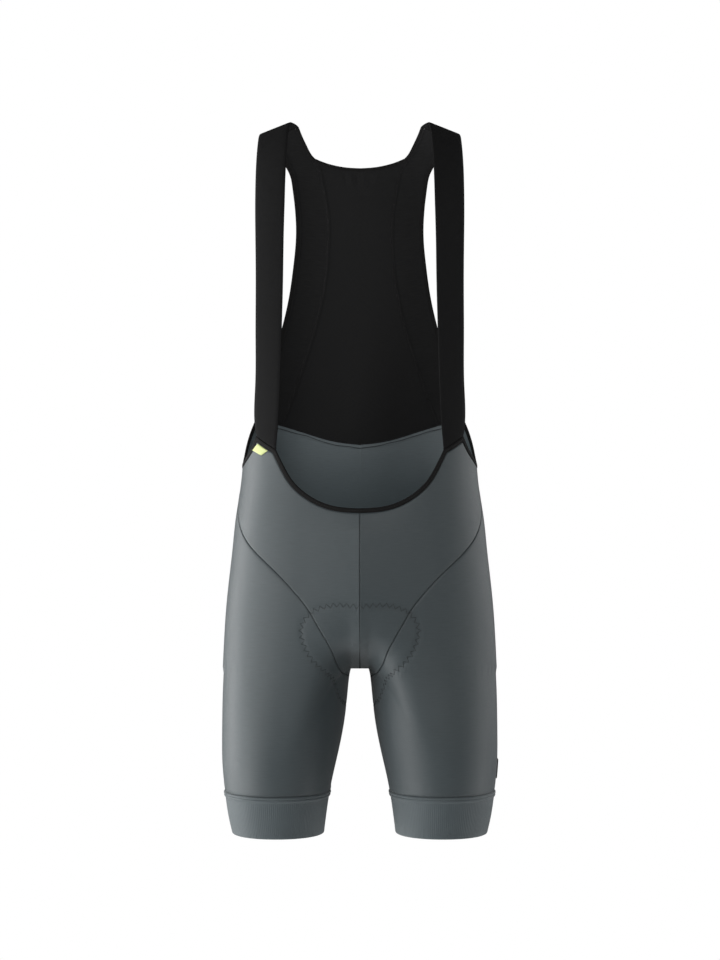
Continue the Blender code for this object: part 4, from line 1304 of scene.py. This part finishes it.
slate_seams = {
    "front_curve": LINES["front curve"],
    "back_curve": LINES["back curve"],
    "side": LINES["side"],
    "inner_leg": chain(inseam(), crotch_seam()[: CROTCH_STEPS + 1]),
}
middle_seams = {
    "centre_front": centre_seam(0.0, CENTRE_FRONT_TOP_Z),
    "centre_back": centre_seam(1.0, LINES["whole waist"][0, 2]),
}
mesh_edge = over_shoulder(LINES["mesh seam"])
waist_edge = mirror_round(LINES["whole waist"])
seam_threads = []
for name, edge in slate_seams.items():
    for mirrored, side in SIDES:
        tape(f"{name}_tape_{side}", edge, SEAM_TAPE, "slate", mirrored)
        seam_threads.append(edge * FLIP if mirrored else edge)
for name, edge in middle_seams.items():
    tape(name + "_tape", edge[CLEAR_OF_CROTCH:], SEAM_TAPE, "slate")
    seam_threads.append(edge)
threads("slate_flatlock", [zigzag(edge, *SLATE_ZIGZAG) for edge in seam_threads])
for mirrored, side in SIDES:
    tape(f"mesh_side_tape_{side}", mesh_edge, SEAM_TAPE, "black knit", mirrored)
tape("waist_tape", waist_edge, WAIST_TAPE, "black knit", aside=WAIST_TAPE_ASIDE)
tape("waist_allowance", waist_edge, WAIST_ALLOWANCE, "slate", aside=WAIST_ALLOWANCE_ASIDE)

# A narrow allowance behind each edge that a binding or a strap is sewn to.
shoulder_seam = over_shoulder(line(LINES["neck side"][-1], LINES["armhole"][-1], WAIST_END_STEPS))
edges = (
    ("armhole", over_shoulder(LINES["armhole"]), "black knit"),
    ("neck_side", over_shoulder(LINES["neck side"]), "black knit"),
    ("shoulder", shoulder_seam, "black knit"),
    ("strap_foot", strap_foot(folded), "black knit"),
    ("front_edge", LINES["front edge"], "slate"),
    ("back_edge", LINES["back edge"], "slate"),
)
for mirrored, side in SIDES:
    for name, edge, finish in edges:
        tape(f"{name}_allowance_{side}", edge, EDGE_ALLOWANCE, finish, mirrored)
neck_edge = over_shoulder(mirror_places(LINES["neckline"]))
tape("neckline_allowance", neck_edge, EDGE_ALLOWANCE, "black knit")
black_runs = [zigzag(edge, *sizes) for sizes in MESH_ZIGZAGS for edge in (mesh_edge, mesh_edge * FLIP)]
black_runs += [zigzag(waist_edge, *sizes) for sizes in WAIST_ZIGZAGS]
threads("black_flatlock", black_runs)

# The raw edge of the waist seam inside, overlocked in an uneven line.
WAIST_OVERLOCK = {"down": 3.6, "lift": -1.0}
WAIST_WAVES = ((0.055, 0.5, 0.4), (0.121, 0.35, 1.9), (0.23, 0.2, 0.7))  # turns a mm, rise and start
waist_run = along(waist_edge)
drop = WAIST_OVERLOCK["down"] + sum(rise * np.sin(turns * waist_run + at) for turns, rise, at in WAIST_WAVES)
overlock = on_level(waist_edge + across(waist_edge) * drop[:, None])
threads("waist_overlock", [lifted(overlock, WAIST_OVERLOCK["lift"])])

# Rows of stitches in the bindings and in the gripper's ridge. Each has its length, gap and lift.
FOLD_STITCH = (2.6, 0.9, BINDING_START + BINDING * FOLD_OUTER[FOLD_MIDDLE] + 0.12)
GRIPPER_STITCH = (2.4, 0.8, GRIPPER_ELASTIC + 0.7)
GRIPPER_STITCH_RUN = ((0.001, -849.4), (0.999, -849.4))
GRIPPER_STITCH_SAMPLES = 400
fold_runs = []
for grid in (folded, neck_grid, armhole_grid, armhole_grid * FLIP):
    fold_runs += stitches(grid[FOLD_MIDDLE], *FOLD_STITCH)
threads("binding_stitches", fold_runs)
ridge_line = cloth_point(line(*GRIPPER_STITCH_RUN, GRIPPER_STITCH_SAMPLES))
ridge_runs = stitches(ridge_line, *GRIPPER_STITCH) + stitches(ridge_line * FLIP, *GRIPPER_STITCH)
threads("gripper_stitches", ridge_runs)
threads("pad_stitching", [zigzag(mirror_round(LINES["pad"]), *PAD_ZIGZAG)])

# Camera and light, in metres and watts.
CAMERA_DISTANCE = 3.0
CAMERA_X = 0.0003
CAMERA_Z = -0.45
FRAME_HEIGHT = 1.2288
SENSOR = 36.0
camera_data = bpy.data.cameras.new("camera")
camera_data.sensor_fit = "VERTICAL"
camera_data.sensor_height = SENSOR
camera_data.lens = SENSOR * CAMERA_DISTANCE / FRAME_HEIGHT
camera = placed("camera", camera_data)
camera.location = (CAMERA_X, -CAMERA_DISTANCE, CAMERA_Z)
camera.rotation_euler = (math.pi / 2, 0.0, 0.0)
bpy.context.scene.camera = camera

AIM = (0.0, 0.0, -0.6)
SOFTBOXES = {  # each with its place, width, height and power
    "left_light": ((-2.4, -0.8, -0.2), 0.7, 2.4, 6.0),
    "left_back_light": ((-2.4, 0.9, -0.2), 0.7, 2.4, 50.0),
    "low_left_light": ((-1.9, -0.65, -1.7), 0.7, 1.4, 20.0),
    "low_left_back_light": ((-1.9, 0.7, -1.7), 0.7, 1.4, 10.0),
    "front_left_light": ((-2.0, -1.7, -0.2), 0.8, 2.0, 21.0),
    "front_light": ((0.0, -3.2, 0.6), 1.6, 1.6, 26.0),
    "front_right_light": ((1.2, -2.8, 0.2), 1.0, 1.6, 8.0),
    "right_light": ((2.6, 0.1, 0.0), 0.7, 2.0, 12.0),
    "low_right_light": ((2.0, 0.1, -1.6), 0.7, 1.4, 11.0),
    "right_back_light": ((2.0, 1.6, 0.1), 0.6, 2.0, 11.0),
}
for name, (place, width, height, watts) in SOFTBOXES.items():
    softbox = bpy.data.lights.new(name, "AREA")
    softbox.shape = "RECTANGLE"
    softbox.size, softbox.size_y, softbox.energy = width, height, watts
    light = placed(name, softbox)
    light.location = place
    way = unit(np.array(AIM) - np.array(place))
    light.rotation_euler = (math.acos(-way[2]), 0.0, math.atan2(way[1], way[0]) - math.pi / 2)
    light.visible_camera = False

WHITE = (1.0, 1.0, 1.0, 1.0)
AMBIENT = 0.03  # the light of the white surroundings on the cloth, as a share of what the camera sees
world = bpy.data.worlds.new("studio")
bpy.context.scene.world = world
world.use_nodes = True
seen = add_node(world.node_tree, "ShaderNodeLightPath", {}).outputs["Is Camera Ray"]
strength = add_node(world.node_tree, "ShaderNodeMapRange", {"Value": seen, "To Min": AMBIENT, "To Max": 1.0})
background = {"Color": WHITE, "Strength": strength.outputs["Result"]}
feed(world.node_tree, world.node_tree.nodes["Background"], background)
bpy.context.scene.view_settings.view_transform = "Standard"

FLOOR_Z = -2.0
FLOOR_RADIUS = 1.5
FLOOR_SEGMENTS = 96
FLOOR_LOOK = ((0.85, 0.85, 0.85), 0.9)
work = bmesh.new()
bmesh.ops.create_circle(work, cap_ends=True, segments=FLOOR_SEGMENTS, radius=FLOOR_RADIUS)
floor_mesh = bpy.data.meshes.new("floor")
work.to_mesh(floor_mesh)
work.free()
floor_mesh.materials.append(fabric("pale_floor", *FLOOR_LOOK)[0])
floor = placed("floor", floor_mesh)
floor.location = (0.0, 0.0, FLOOR_Z)

# The flat cut of each sheet before it is stretched on, in metres: its width, its length and its area.
CUTS = {
    "front_cloth": (0.155, 0.25, 0.0262),
    "back_cloth": (0.19, 0.31, 0.0375),
    "leg_cloth": (0.5, 0.375, 0.118),
    "gripper_band": (0.4, 0.056, 0.0224),
    "side_cloth": (0.07, 0.42, 0.018),
    "strap_elastic": (0.036, 0.42, 0.01512),
}
for kind, (width, length, area) in CUTS.items():
    for _, side in SIDES:
        name = f"{kind}_{side}"
